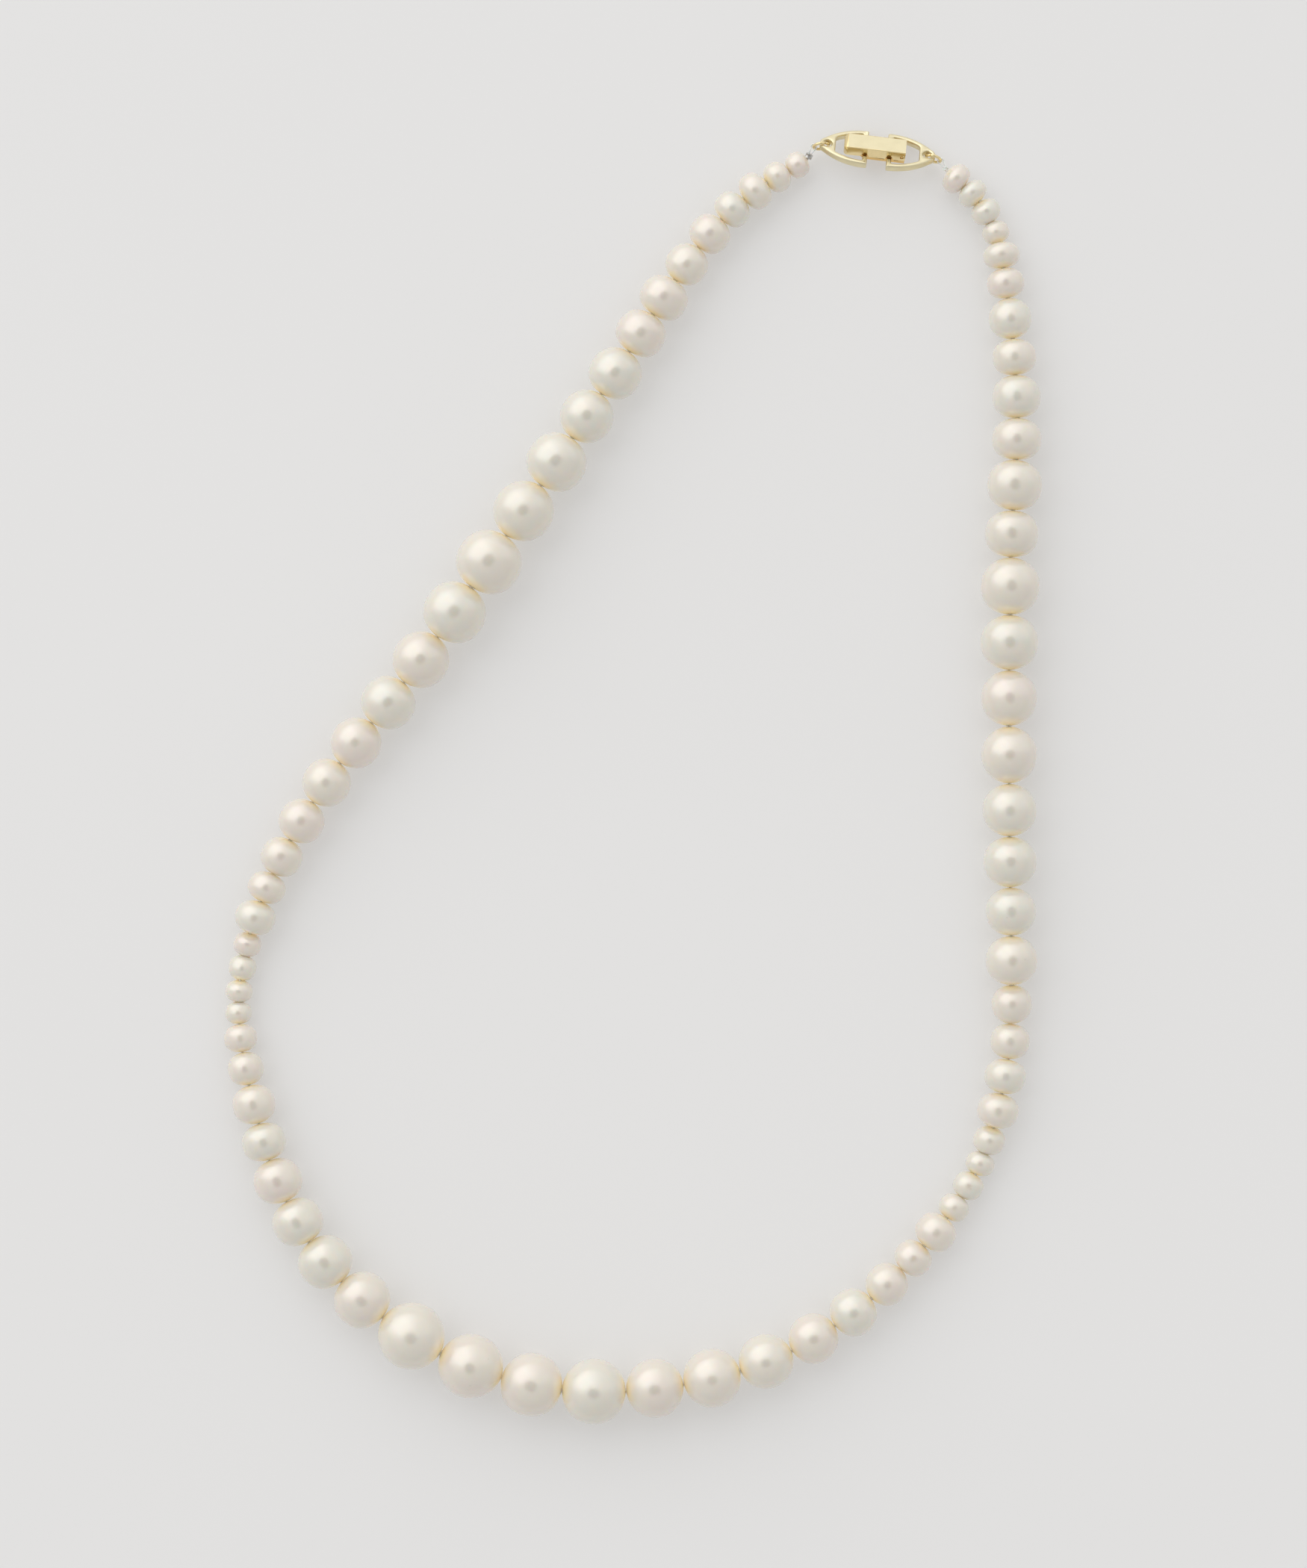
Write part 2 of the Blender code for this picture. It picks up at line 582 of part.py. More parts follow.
def make_end(side, bead, surface, gap, middle, reach):
    """The crimp or knot against the last pearl and the loop of thread from it round the ring."""
    start = Vector(gap)
    wire = middle + reach * RING_RADIUS
    along = (wire - start).normalized()
    across = along.cross(Vector((0.0, 0.0, 1.0))).normalized()
    up = across.cross(along)
    turn = Matrix((across, up, along)).transposed().to_4x4()
    bead_start = CRIMP_CLEARANCE
    bead_end = bead_start + CRIMP_LENGTH
    bulge = CRIMP_RADIUS * 0.8
    profile = [
        (bulge, CRIMP_LENGTH / 2), (CRIMP_RADIUS, CRIMP_LENGTH / 5), (CRIMP_RADIUS, -CRIMP_LENGTH / 5),
        (bulge, -CRIMP_LENGTH / 2), (CRIMP_BORE_RADIUS, -CRIMP_LENGTH / 2),
        (CRIMP_BORE_RADIUS, CRIMP_LENGTH / 2),
    ]
    crimp = turned(f"{side}_{bead}", profile, 14, True)
    crimp.matrix_world = Matrix.Translation((start + along * (bead_start + bead_end) / 2) * MM) @ turn
    loop_radius = RING_WIRE_RADIUS + LOOP_WIRE_RADIUS + LOOP_CLEARANCE
    leg = LOOP_WIRE_RADIUS + 0.02
    foot = start + along * (bead_end - LOOP_SEAT)
    points = [foot + across * leg, foot + along * 0.12 + across * leg]
    for i in range(7):
        angle = math.radians(215 - 250 * i / 6)
        points.append(wire - across * loop_radius * math.cos(angle) + along * loop_radius * math.sin(angle))
    points.extend([foot + along * 0.12 - across * leg, foot - across * leg])
    loop = tube(f"{side}_loop", points, LOOP_WIRE_RADIUS)
    return keep(crimp, surface), keep(loop, SILK), bead_start, along


# ---------------------------------------------------------------- assembly
def fold_empty(name, left_turn, right_turn, parent):
    """An empty on the line between two gaps, with its X axis along that line."""
    a = Vector(TURNS[left_turn])
    b = Vector(TURNS[right_turn])
    along = (b - a).normalized()
    across = Vector((0.0, 0.0, 1.0)).cross(along).normalized()
    up = along.cross(across)
    empty = bpy.data.objects.new(name, None)
    empty.empty_display_size = 0.01
    NECKLACE.objects.link(empty)
    axes = Matrix((along, across, up)).transposed().to_4x4()
    attach(empty, parent, Matrix.Translation((a + b) / 2 * MM) @ axes)
    return empty


def attach(item, parent, world=None):
    """Hang an object on a parent and leave it where it is in the world."""
    if world is None:
        world = item.matrix_world.copy()
    if parent is not None:
        bpy.context.view_layer.update()
        item.parent = parent
        item.matrix_parent_inverse = parent.matrix_world.inverted()
    item.matrix_world = world
    bpy.context.view_layer.update()


def section_of(number):
    """Which fold's moving part a pearl belongs to: 0 is the part at the bottom, which stays."""
    section = 0
    for order, (left, right) in enumerate(FOLDS, start=1):
        if number <= left or number > right:
            section = order
    return section


def build():
    pieces = []
    in_runs = {number for first, last in RUNS for number in range(first, last + 1)}
    for first, last in RUNS:
        pieces.append((make_run(first, last), section_of(first)))
    for number in range(1, len(PEARLS) + 1):
        if number not in in_runs:
            pearl = make_pearl(number - 1, f"pearl_{number:02d}", DRILL_RADIUS)
            pieces.append((keep(pearl, PEARL), section_of(number)))

    top = len(FOLDS)
    ends = []
    for side, bead, surface, eye_u, gap in (
        ("left", "crimp", SILVER, 0.0, TURNS[0]), ("right", "knot", SILK, EYE_SPAN, TURNS[-1]),
    ):
        middle, reach = ring_place(eye_u, gap)
        pieces.append((make_ring(f"{side}_ring", middle, reach), top))
        crimp, loop, bead_start, along = make_end(side, bead, surface, gap, middle, reach)
        pieces.append((crimp, top))
        pieces.append((loop, top))
        ends.append(Vector(gap) + along * (bead_start + CRIMP_LENGTH * 0.55))

    line = [ends[0]] + [Vector(point) for point in TURNS] + [ends[1]]
    pieces.append((keep(tube("thread", line, THREAD_RADIUS), SILK), 0))

    sections = [None]
    for order, (left, right) in enumerate(FOLDS, start=1):
        sections.append(fold_empty(f"fold_{order:02d}", left, right, sections[-1]))
    for item, section in pieces:
        attach(item, sections[section])

    swing = bpy.data.objects.new("clasp_swing", None)
    leaf_hinge = bpy.data.objects.new("leaf_hinge", None)
    cover_hinge = bpy.data.objects.new("cover_hinge", None)
    for empty in (swing, leaf_hinge, cover_hinge):
        empty.empty_display_size = 0.004
        NECKLACE.objects.link(empty)
    attach(swing, sections[top], CLASP.copy())
    attach(leaf_hinge, swing, at(PIN_U, 0.0, 0.0))
    attach(cover_hinge, leaf_hinge, at(HINGE_U, 0.0, HINGE_HEIGHT))
    pins = make_pins()
    for item, parent in (
        (make_frame("left_frame", False), swing), (make_frame("right_frame", True), swing),
        (pins["leaf_pin"], swing), (pins["catch_bar"], swing), (make_leaf(), leaf_hinge),
        (pins["cover_pin"], leaf_hinge), (make_cover(), cover_hinge),
    ):
        attach(item, parent)


def centre_on_origin():
    """Move the whole necklace so that the middle of its footprint is the origin."""
    bpy.context.view_layer.update()
    graph = bpy.context.evaluated_depsgraph_get()
    corners = []
    for item in NECKLACE.objects:
        if item.type == "EMPTY":
            continue
        shape = item.evaluated_get(graph)
        mesh = shape.to_mesh()
        corners.extend(shape.matrix_world @ vertex.co for vertex in mesh.vertices)
        shape.to_mesh_clear()
    spots = np.array(corners)
    low = spots.min(axis=0)
    high = spots.max(axis=0)
    shift = Vector((-(low[0] + high[0]) / 2, -(low[1] + high[1]) / 2, -low[2]))
    for item in list(NECKLACE.objects) + list(CUTTERS.objects):
        if item.parent is None:
            item.matrix_world = Matrix.Translation(shift) @ item.matrix_world
    bpy.context.view_layer.update()
    return shift, high - low


build()
SHIFT, SIZE = centre_on_origin()
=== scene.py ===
"""Looks of a pearl necklace that lies flat and fastened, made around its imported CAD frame.

Every place and size comes from the frame: the thread's turning points and the pearls' widths from their
nodes, and the clasp's own axes from its joints. U runs along the clasp from the left eye to the right eye,
V across it and W up through its frames. Lengths named in millimetres are turned into metres with MM.
"""

import json
import math

import bpy
import numpy as np
from bpy.props import FloatProperty, FloatVectorProperty, IntProperty, PointerProperty
from mathutils import Matrix, Vector, noise


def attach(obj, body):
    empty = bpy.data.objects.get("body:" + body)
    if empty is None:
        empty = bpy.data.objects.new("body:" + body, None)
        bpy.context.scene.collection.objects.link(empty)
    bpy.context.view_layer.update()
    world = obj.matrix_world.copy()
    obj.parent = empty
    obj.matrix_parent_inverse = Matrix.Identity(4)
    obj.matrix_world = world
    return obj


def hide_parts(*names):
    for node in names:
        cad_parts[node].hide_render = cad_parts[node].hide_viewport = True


bl_info = {
    "name": "Pearl Necklace",
    "version": (1, 0, 0),
    "blender": (4, 5, 0),
    "location": "3D View > Sidebar > Necklace",
    "description": "Dresses a necklace frame with pearls, silk and a gold fold-over clasp",
    "category": "Object",
}

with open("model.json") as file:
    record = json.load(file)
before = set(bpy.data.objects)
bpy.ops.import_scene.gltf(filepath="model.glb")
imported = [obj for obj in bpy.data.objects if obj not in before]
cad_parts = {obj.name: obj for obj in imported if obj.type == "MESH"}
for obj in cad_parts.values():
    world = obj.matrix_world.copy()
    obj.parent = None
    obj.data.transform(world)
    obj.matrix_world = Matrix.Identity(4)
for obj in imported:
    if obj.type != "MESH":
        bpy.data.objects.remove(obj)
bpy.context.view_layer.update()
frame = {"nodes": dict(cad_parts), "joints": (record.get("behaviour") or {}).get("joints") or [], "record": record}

MM = 0.001
UP = Vector((0.0, 0.0, 1.0))
BODY_OF = {node: body for body, nodes in frame["record"]["behaviour"]["bodies"].items() for node in nodes}
JOINTS = {joint["name"]: joint for joint in frame["joints"]}
LAST_SECTION = BODY_OF["left_ring"]
END_BEADS = {"left": "left_crimp", "right": "right_knot"}


# ------------------------ what the frame says
def points_of(node):
    """A CAD node's corners, as an array of points."""
    return np.array([vertex.co for vertex in frame["nodes"][node].data.vertices])


def thread_line():
    """The points where the thread turns, from the left end to the right one, read from its tube."""
    tube_width = 0.42 * MM
    skin = np.unique(np.round(points_of("thread"), 7), axis=0)
    loose = np.ones(len(skin), bool)
    seeds = []
    while loose.any():
        near = loose & (np.linalg.norm(skin - skin[np.argmax(loose)], axis=1) < tube_width)
        seeds.append(skin[near].mean(axis=0))
        loose &= ~near
    owner = np.argmin(np.linalg.norm(skin[:, None] - np.array(seeds)[None], axis=2), axis=1)
    stations = [skin[owner == i].mean(axis=0) for i in range(len(seeds))]
    here = points_of("left_ring").mean(axis=0)
    line = []
    while stations:
        nearest = min(range(len(stations)), key=lambda i: np.linalg.norm(stations[i] - here))
        here = stations.pop(nearest)
        line.append(Vector(here))
    return line


THREAD = thread_line()
TURNS = THREAD[1:-1]


def pearl_radius(node, start, end):
    """Half the width of the pearl of this node that lies between two turns of the thread."""
    along = np.array((end - start).normalized())
    offset = points_of(node) - np.array(start)
    way = offset @ along
    middle = (end - start).length / 2
    belt = np.abs(way - middle) < 0.25 * middle
    return float(np.linalg.norm(offset - np.outer(way, along), axis=1)[belt].max())


def pearl_spots():
    """For every pearl its number, node, turn before, turn after and radius, in order along the thread."""
    spots = []
    for node in frame["nodes"]:
        if not node.startswith("pearl"):
            continue
        numbers = [int(word) for word in node.split("_")[1:]]
        for number in range(numbers[0], numbers[-1] + 1):
            start, end = TURNS[number - 1], TURNS[number]
            spots.append((number, node, start, end, pearl_radius(node, start, end)))
    return sorted(spots)


SPOTS = pearl_spots()


def clasp_axes():
    """The clasp's own frame: U along it, V along its pins, W up through it, from the left eye."""
    along = Vector(JOINTS["clasp_swing"]["axis"])
    across = Vector(JOINTS["clasp_cover"]["axis"])
    axes = Matrix((along, across, along.cross(across))).transposed().to_4x4()
    axes.translation = Vector(JOINTS["clasp_swing"]["pos_m"])
    return axes


CLASP = clasp_axes()
ALONG_V = Matrix.Rotation(math.radians(90), 4, "X")


def clasp_box(node):
    """A clasp node's lowest and highest corner in U, V and W."""
    back = CLASP.inverted()
    local = np.array([back @ Vector(point) for point in points_of(node)])
    return Vector(local.min(axis=0)), Vector(local.max(axis=0))


def pin_place(node):
    """A pin's middle in U and W, its radius and half its length."""
    low, high = clasp_box(node)
    middle = (low + high) / 2
    return middle.x, middle.z, (high.z - low.z) / 2, (high.y - low.y) / 2


# ------------------------ settings
class PearlSettings(bpy.types.PropertyGroup):
    """Shape and colour of the pearls."""

    segments: IntProperty(name="Segments", description="Faces round each pearl", default=48, min=16, max=96)
    gap: FloatProperty(name="Gap", description="Between two pearls along the thread", default=0.08 * MM,
                       min=0.0, max=0.5 * MM, unit="LENGTH", precision=5)
    unevenness: FloatProperty(name="Unevenness", description="How far a pearl is from a true round",
                              default=0.022, min=0.0, max=0.1, subtype="FACTOR")
    cream: FloatVectorProperty(name="Cream", description="Main colour of the nacre", subtype="COLOR",
                               default=(0.800, 0.745, 0.640), min=0.0, max=1.0)
    blush: FloatVectorProperty(name="Blush", description="Pink cast in the nacre", subtype="COLOR",
                               default=(0.805, 0.720, 0.640), min=0.0, max=1.0)
    mist: FloatVectorProperty(name="Mist", description="Cool green-grey cast in the nacre", subtype="COLOR",
                              default=(0.722, 0.735, 0.655), min=0.0, max=1.0)
    # Painted crease light: the warm colour put round the drill holes, where the pearls meet, stands in for light
    # through the translucent nacre and light bounced between neighbours.
    crease_glow: FloatVectorProperty(name="Honey", description="Deeper colour round the drill holes",
                               subtype="COLOR", default=(0.880, 0.750, 0.480), min=0.0, max=1.0)


class GoldSettings(bpy.types.PropertyGroup):
    """Colours and edges of the clasp and its rings."""

    polished: FloatVectorProperty(name="Polished", description="Colour of the polished gold",
                                  subtype="COLOR", default=(0.885, 0.725, 0.400), min=0.0, max=1.0)
    satin: FloatVectorProperty(name="Satin", description="Colour of the satin gold", subtype="COLOR",
                               default=(0.825, 0.738, 0.490), min=0.0, max=1.0)
    # Painted shade: a darker, more amber copy of the gold for the leaf and pins under the cover, standing in for
    # the shade and gold-on-gold reflection there.
    under_cover_shade: FloatVectorProperty(name="Deep", description="Colour of the gold under the cover", subtype="COLOR",
                              default=(0.800, 0.540, 0.220), min=0.0, max=1.0)
    frame_edge: FloatProperty(name="Frame Edge", description="Rounding of the frames' edges",
                              default=0.24 * MM, min=0.0, max=0.4 * MM, unit="LENGTH", precision=5)
    cover_corner: FloatProperty(name="Cover Corner", description="Rounding of the cover's corners",
                                default=0.26 * MM, min=0.0, max=0.5 * MM, unit="LENGTH", precision=5)


class SilkSettings(bpy.types.PropertyGroup):
    """The thread, its loops and its knot."""

    radius: FloatProperty(name="Radius", description="Of the thread inside the pearls", default=0.16 * MM,
                          min=0.05 * MM, max=0.18 * MM, unit="LENGTH", precision=5)
    loop_radius: FloatProperty(name="Loop Radius", description="Of the doubled thread round a ring",
                               default=0.13 * MM, min=0.05 * MM, max=0.2 * MM, unit="LENGTH", precision=5)
    colour: FloatVectorProperty(name="Colour", description="Of the silk", subtype="COLOR",
                                default=(0.93, 0.915, 0.88), min=0.0, max=1.0)


class StageSettings(bpy.types.PropertyGroup):
    """The camera, the light and the floor."""

    distance: FloatProperty(name="Camera Distance", description="From the camera down to the pearls",
                            default=0.60, min=0.2, max=3.0, unit="LENGTH")
    height: FloatProperty(name="View Height", description="What the long side of the picture takes in",
                          default=0.2094, min=0.1, max=1.0, unit="LENGTH")
    key: FloatProperty(name="Key Light", description="Power of the softbox", default=0.30, min=0.0,
                       unit="POWER")
    room: FloatProperty(name="Room Light", description="Strength of the light from all round", default=0.92,
                        min=0.0, max=5.0)
    floor: FloatVectorProperty(name="Floor", description="Colour of the floor", subtype="COLOR",
                               default=(0.492, 0.487, 0.480), min=0.0, max=1.0)
    floor_light: FloatProperty(name="Floor Light", description="Light that the floor itself gives",
                               default=0.325, min=0.0, max=1.0)


# ------------------------ modelling helpers
def start_clean():
    """Object mode with nothing selected."""
    if bpy.context.mode != "OBJECT":
        bpy.ops.object.mode_set(mode="OBJECT")
    bpy.ops.object.select_all(action="DESELECT")


def select_only(item):
    start_clean()
    item.select_set(True)
    bpy.context.view_layer.objects.active = item


def pick(item, kind, test):
    """Edit mode with only the faces, edges or points that pass the test selected."""
    select_only(item)
    bpy.ops.object.mode_set(mode="EDIT")
    bpy.ops.mesh.select_mode(type=kind)
    bpy.ops.mesh.select_all(action="DESELECT")
    bpy.ops.object.mode_set(mode="OBJECT")
    parts = {"FACE": item.data.polygons, "EDGE": item.data.edges, "VERT": item.data.vertices}[kind]
    for part in parts:
        part.select = bool(test(part))
    bpy.ops.object.mode_set(mode="EDIT")


def delete_faces(item, test):
    """Take away the faces that pass the test."""
    pick(item, "FACE", test)
    bpy.ops.mesh.delete(type="FACE")
    bpy.ops.object.mode_set(mode="OBJECT")


def round_off(item, kind, test, width, steps):
    """Bevel the edges that pass the test, or the edges of the faces that pass it."""
    pick(item, kind, test)
    bpy.ops.mesh.bevel(offset=width, segments=steps, affect="EDGES")
    bpy.ops.object.mode_set(mode="OBJECT")


def face_outwards(item):
    """Turn every face of a closed mesh to its outside."""
    select_only(item)
    bpy.ops.object.mode_set(mode="EDIT")
    bpy.ops.mesh.select_all(action="SELECT")
    bpy.ops.mesh.normals_make_consistent(inside=False)
    bpy.ops.object.mode_set(mode="OBJECT")


def ends_of(item, edge):
    """The two ends of an edge, as points."""
    return [item.data.vertices[i].co for i in edge.vertices]


def use_modifier(item, kind, **settings):
    """Add one modifier and apply it."""
    select_only(item)
    modifier = item.modifiers.new(kind.lower(), kind)
    for key, value in settings.items():
        setattr(modifier, key, value)
    bpy.ops.object.modifier_apply(modifier=modifier.name)


def cut_with(item, cutter):
    """Take the cutter's shape out of the item, and remove the cutter."""
    use_modifier(item, "BOOLEAN", object=cutter, operation="DIFFERENCE", solver="EXACT")
    bpy.data.objects.remove(cutter, do_unlink=True)


def place_in_mesh(item, place):
    """Move a mesh to its place and leave its object at the origin, unturned and unscaled."""
    select_only(item)
    item.matrix_world = place
    bpy.context.view_layer.update()
    bpy.ops.object.transform_apply(location=True, rotation=True, scale=True)


def finish_piece(item, name, surfaces, body, nodes):
    """Name a piece, give it its materials and hang it on the frame."""
    start_clean()
    item.name = name
    item.data.name = name
    item.data.materials.clear()
    for surface in surfaces:
        item.data.materials.append(surface)
    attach(item, body)
    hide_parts(*nodes)
    return item


def smooth_edges(item, degrees=32.0):
    """Smooth shading that keeps flat faces flat and corners crisp."""
    select_only(item)
    bpy.ops.object.shade_smooth_by_angle(angle=math.radians(degrees))
    use_modifier(item, "WEIGHTED_NORMAL", keep_sharp=True, weight=60)


def to_mesh(curve_item):
    """Make a curve a closed mesh, with its doubles merged and its faces outwards."""
    select_only(curve_item)
    bpy.ops.object.convert(target="MESH")
    item = bpy.context.object
    bpy.ops.object.mode_set(mode="EDIT")
    bpy.ops.mesh.select_all(action="SELECT")
    bpy.ops.mesh.remove_doubles(threshold=1e-6)
    face_outwards(item)
    return item


def new_curve(name, dimensions, lines, cyclic):
    """A curve object of straight stretches through each line's points."""
    curve = bpy.data.curves.new(name, "CURVE")
    curve.dimensions = dimensions
    for line in lines:
        spline = curve.splines.new("POLY")
        spline.points.add(len(line) - 1)
        for place, point in zip(spline.points, line):
            place.co = (*point, 1.0) if len(point) == 3 else (*point, 0.0, 1.0)
        spline.use_cyclic_u = cyclic
    item = bpy.data.objects.new(name, curve)
    bpy.context.scene.collection.objects.link(item)
    return item


def plate(name, outlines, thickness, edge, steps=3):
    """A flat shape with rounded edges: the first outline is its rim and the others are its holes."""
    item = new_curve(name, "2D", outlines, True)
    item.data.fill_mode = "BOTH"
    item.data.extrude = thickness / 2 - edge
    item.data.bevel_depth = edge
    item.data.bevel_resolution = steps
    item.data.offset = -edge
    return to_mesh(item)


def round_lines(name, lines, radius):
    """A round tube with closed ends through each line's points, all in one mesh."""
    item = new_curve(name, "3D", lines, False)
    item.data.bevel_depth = radius
    item.data.bevel_resolution = 2
    item.data.use_fill_caps = True
    return to_mesh(item)


def arc(centre, radius, start, end, steps):
    """Points on an arc, both ends included; angles in degrees."""
    turn = [math.radians(start + (end - start) * i / steps) for i in range(steps + 1)]
    return [(centre[0] + radius * math.cos(a), centre[1] + radius * math.sin(a)) for a in turn]


def ring_of(centre, radius, steps):
    """Points round a whole circle."""
    return arc(centre, radius, 0.0, 360.0, steps)[:-1]


def cutter_along_v(u, w, radius, half_length):
    """A cylinder along V, for cutting with."""
    start_clean()
    bpy.ops.mesh.primitive_cylinder_add(vertices=40, radius=radius, depth=2 * half_length)
    item = bpy.context.object
    place_in_mesh(item, Matrix.Translation((u, 0.0, w)) @ ALONG_V)
    return item


# ------------------------ node helpers
def feed(tree, socket, given):
    """Link another node's socket to an input socket, or set it to a plain value."""
    if isinstance(given, bpy.types.NodeSocket):
        tree.links.new(given, socket)
    else:
        socket.default_value = given


def add(tree, kind, sockets, **settings):
    """A new node with its settings, and with links or values for its input sockets."""
    made = tree.nodes.new(kind)
    for key, value in settings.items():
        setattr(made, key, value)
    for key, given in sockets.items():
        feed(tree, made.inputs[key], given)
    return made


def mix_colour(tree, factor, first, second):
    """Mixes two colours, each a socket or a value, and returns the result's socket."""
    return add(tree, "ShaderNodeMix", {0: factor, 6: first, 7: second}, data_type="RGBA").outputs[2]


def calculate(tree, operation, *values, clamp=False):
    """A Math node of sockets or numbers, and its result's socket."""
    made = add(tree, "ShaderNodeMath", dict(enumerate(values)), operation=operation, use_clamp=clamp)
    return made.outputs[0]


def spread(tree, value, low, high, out_low=0.0, out_high=1.0):
    """A smooth step from low to high, and its result's socket."""
    sockets = {"Value": value, "From Min": low, "From Max": high, "To Min": out_low, "To Max": out_high}
    return add(tree, "ShaderNodeMapRange", sockets, interpolation_type="SMOOTHSTEP").outputs["Result"]


def new_group(name, inputs, outputs):
    """A node group with the named sockets, its input node and its output node."""
    tree = bpy.data.node_groups.new(name, "ShaderNodeTree")
    for label, kind, value in inputs:
        socket = tree.interface.new_socket(name=label, in_out="INPUT", socket_type=kind)
        if value is not None:
            socket.default_value = value
    for label, kind in outputs:
        tree.interface.new_socket(name=label, in_out="OUTPUT", socket_type=kind)
    return tree, tree.nodes.new("NodeGroupInput"), tree.nodes.new("NodeGroupOutput")


def clouds_group():
    """Soft patches that run from nought to one over a surface."""
    tree, given, result = new_group(
        "soft_clouds",
        [("Position", "NodeSocketVector", None), ("Scale", "NodeSocketFloat", 400.0),
         ("Detail", "NodeSocketFloat", 3.0)],
        [("Mask", "NodeSocketFloat")],
    )
    place, scale, detail = given.outputs[:3]
    cloud = add(tree, "ShaderNodeTexNoise", {"Vector": place, "Scale": scale, "Detail": detail,
                                             "Roughness": 0.55})
    feed(tree, result.inputs["Mask"], spread(tree, cloud.outputs["Fac"], 0.32, 0.68))
    return tree


def wear_group():
    """Fine scratches and rubbed patches for metal."""
    tree, given, result = new_group(
        "handled_metal",
        [("Position", "NodeSocketVector", None), ("Scratch Scale", "NodeSocketFloat", 9000.0),
         ("Patch Scale", "NodeSocketFloat", 900.0)],
        [("Height", "NodeSocketFloat"), ("Patches", "NodeSocketFloat")],
    )
    place, scratch_scale, patch_scale = given.outputs[:3]
    stretch = add(tree, "ShaderNodeMapping", {"Vector": place, "Scale": (0.12, 1.0, 1.0),
                                              "Rotation": (0.0, 0.0, 0.6)})
    scratch = add(tree, "ShaderNodeTexNoise", {"Vector": stretch.outputs["Vector"], "Scale": scratch_scale,
                                               "Detail": 4.0, "Roughness": 0.7})
    patch = add(tree, "ShaderNodeTexNoise", {"Vector": place, "Scale": patch_scale, "Detail": 2.0,
                                             "Roughness": 0.5})
    feed(tree, result.inputs["Height"], scratch.outputs["Fac"])
    feed(tree, result.inputs["Patches"], spread(tree, patch.outputs["Fac"], 0.35, 0.65))
    return tree


def shared(name, make):
    """A node group that is made once."""
    return bpy.data.node_groups.get(name) or make()


def use_group(tree, group, position, **values):
    """A group's node, fed with a position and with values for its other sockets."""
    return add(tree, "ShaderNodeGroup", {"Position": position, **values}, node_tree=group)


def new_material(name):
    """A material, its node tree, its shader and its Object coordinates."""
    made = bpy.data.materials.new(name)
    made.use_nodes = True
    tree = made.node_tree
    place = add(tree, "ShaderNodeTexCoord", {}).outputs["Object"]
    return made, tree, tree.nodes["Principled BSDF"], place


def set_shader(tree, shader, **sockets):
    """Feed a shader's sockets; an underscore stands for a space in a socket's name."""
    for label, given in sockets.items():
        feed(tree, shader.inputs[label.replace("_", " ")], given)


def bumped(tree, height, strength, distance):
    """A Bump node's normal, from a height."""
    sockets = {"Height": height, "Strength": strength, "Distance": distance}
    return add(tree, "ShaderNodeBump", sockets).outputs["Normal"]


# ------------------------ materials
def nacre():
    """Layered cream nacre: soft patches of pink and green, a painted warm crease light round the drill holes in
    colour and glow, a few pits.
    """
    found = bpy.data.materials.get("cream_nacre")
    if found:
        return found
    settings = bpy.context.scene.necklace_pearls
    made, tree, shader, place = new_material("cream_nacre")
    clouds = shared("soft_clouds", clouds_group)
    broad = use_group(tree, clouds, place, Scale=210.0, Detail=2.0).outputs["Mask"]
    close = use_group(tree, clouds, place, Scale=620.0, Detail=4.0).outputs["Mask"]
    tint, mouth = (add(tree, "ShaderNodeAttribute", {}, attribute_name=name).outputs["Fac"]
                   for name in ("tint", "mouth"))

    pink = calculate(tree, "MULTIPLY", broad, spread(tree, tint, 0.25, 0.95), clamp=True)
    green = calculate(tree, "MULTIPLY", close, spread(tree, tint, 0.65, 0.05), clamp=True)
    colour = mix_colour(tree, pink, (*settings.cream, 1.0), (*settings.blush, 1.0))
    colour = mix_colour(tree, calculate(tree, "MULTIPLY", green, 0.55), colour, (*settings.mist, 1.0))
    # Painted crease light: near the drill mouths, where the pearls meet, the colour turns to the warm crease
    # colour, in soft patches.
    patchy = calculate(tree, "ADD", 0.55, calculate(tree, "MULTIPLY", close, 0.35))
    painted_crease_light = calculate(tree, "MULTIPLY", mouth, patchy)
    colour = mix_colour(tree, painted_crease_light, colour, (*settings.crease_glow, 1.0))

    cell = add(tree, "ShaderNodeTexVoronoi", {"Vector": place, "Scale": 420.0, "Randomness": 1.0})
    lot = add(tree, "ShaderNodeSeparateColor", {"Color": cell.outputs["Color"]})
    chosen = calculate(tree, "GREATER_THAN", lot.outputs["Red"], 0.86)
    pit = calculate(tree, "MULTIPLY", chosen, spread(tree, cell.outputs["Distance"], 0.085, 0.02))
    colour = mix_colour(tree, calculate(tree, "MULTIPLY", pit, 0.22), colour, (0.55, 0.49, 0.40, 1.0))
    # Painted glow: the drill mouths give off a faint warm light of their own, though they are no lamp, to brighten
    # the creases.
    glow = mix_colour(tree, mouth, (0.0, 0.0, 0.0, 1.0), (*settings.crease_glow, 1.0))
    set_shader(tree, shader, Base_Color=colour, Roughness=spread(tree, close, 0.0, 1.0, 0.20, 0.26), IOR=1.50,
               Metallic=0.11, Subsurface_Weight=0.35, Subsurface_Scale=1.6 * MM,
               Subsurface_Radius=(1.0, 0.55, 0.25), Coat_Weight=1.0, Coat_Roughness=0.17, Coat_IOR=1.80,
               Sheen_Weight=0.05, Sheen_Roughness=0.50, Sheen_Tint=(1.0, 0.92, 0.88, 1.0),
               Emission_Color=glow, Emission_Strength=0.14)
    return made


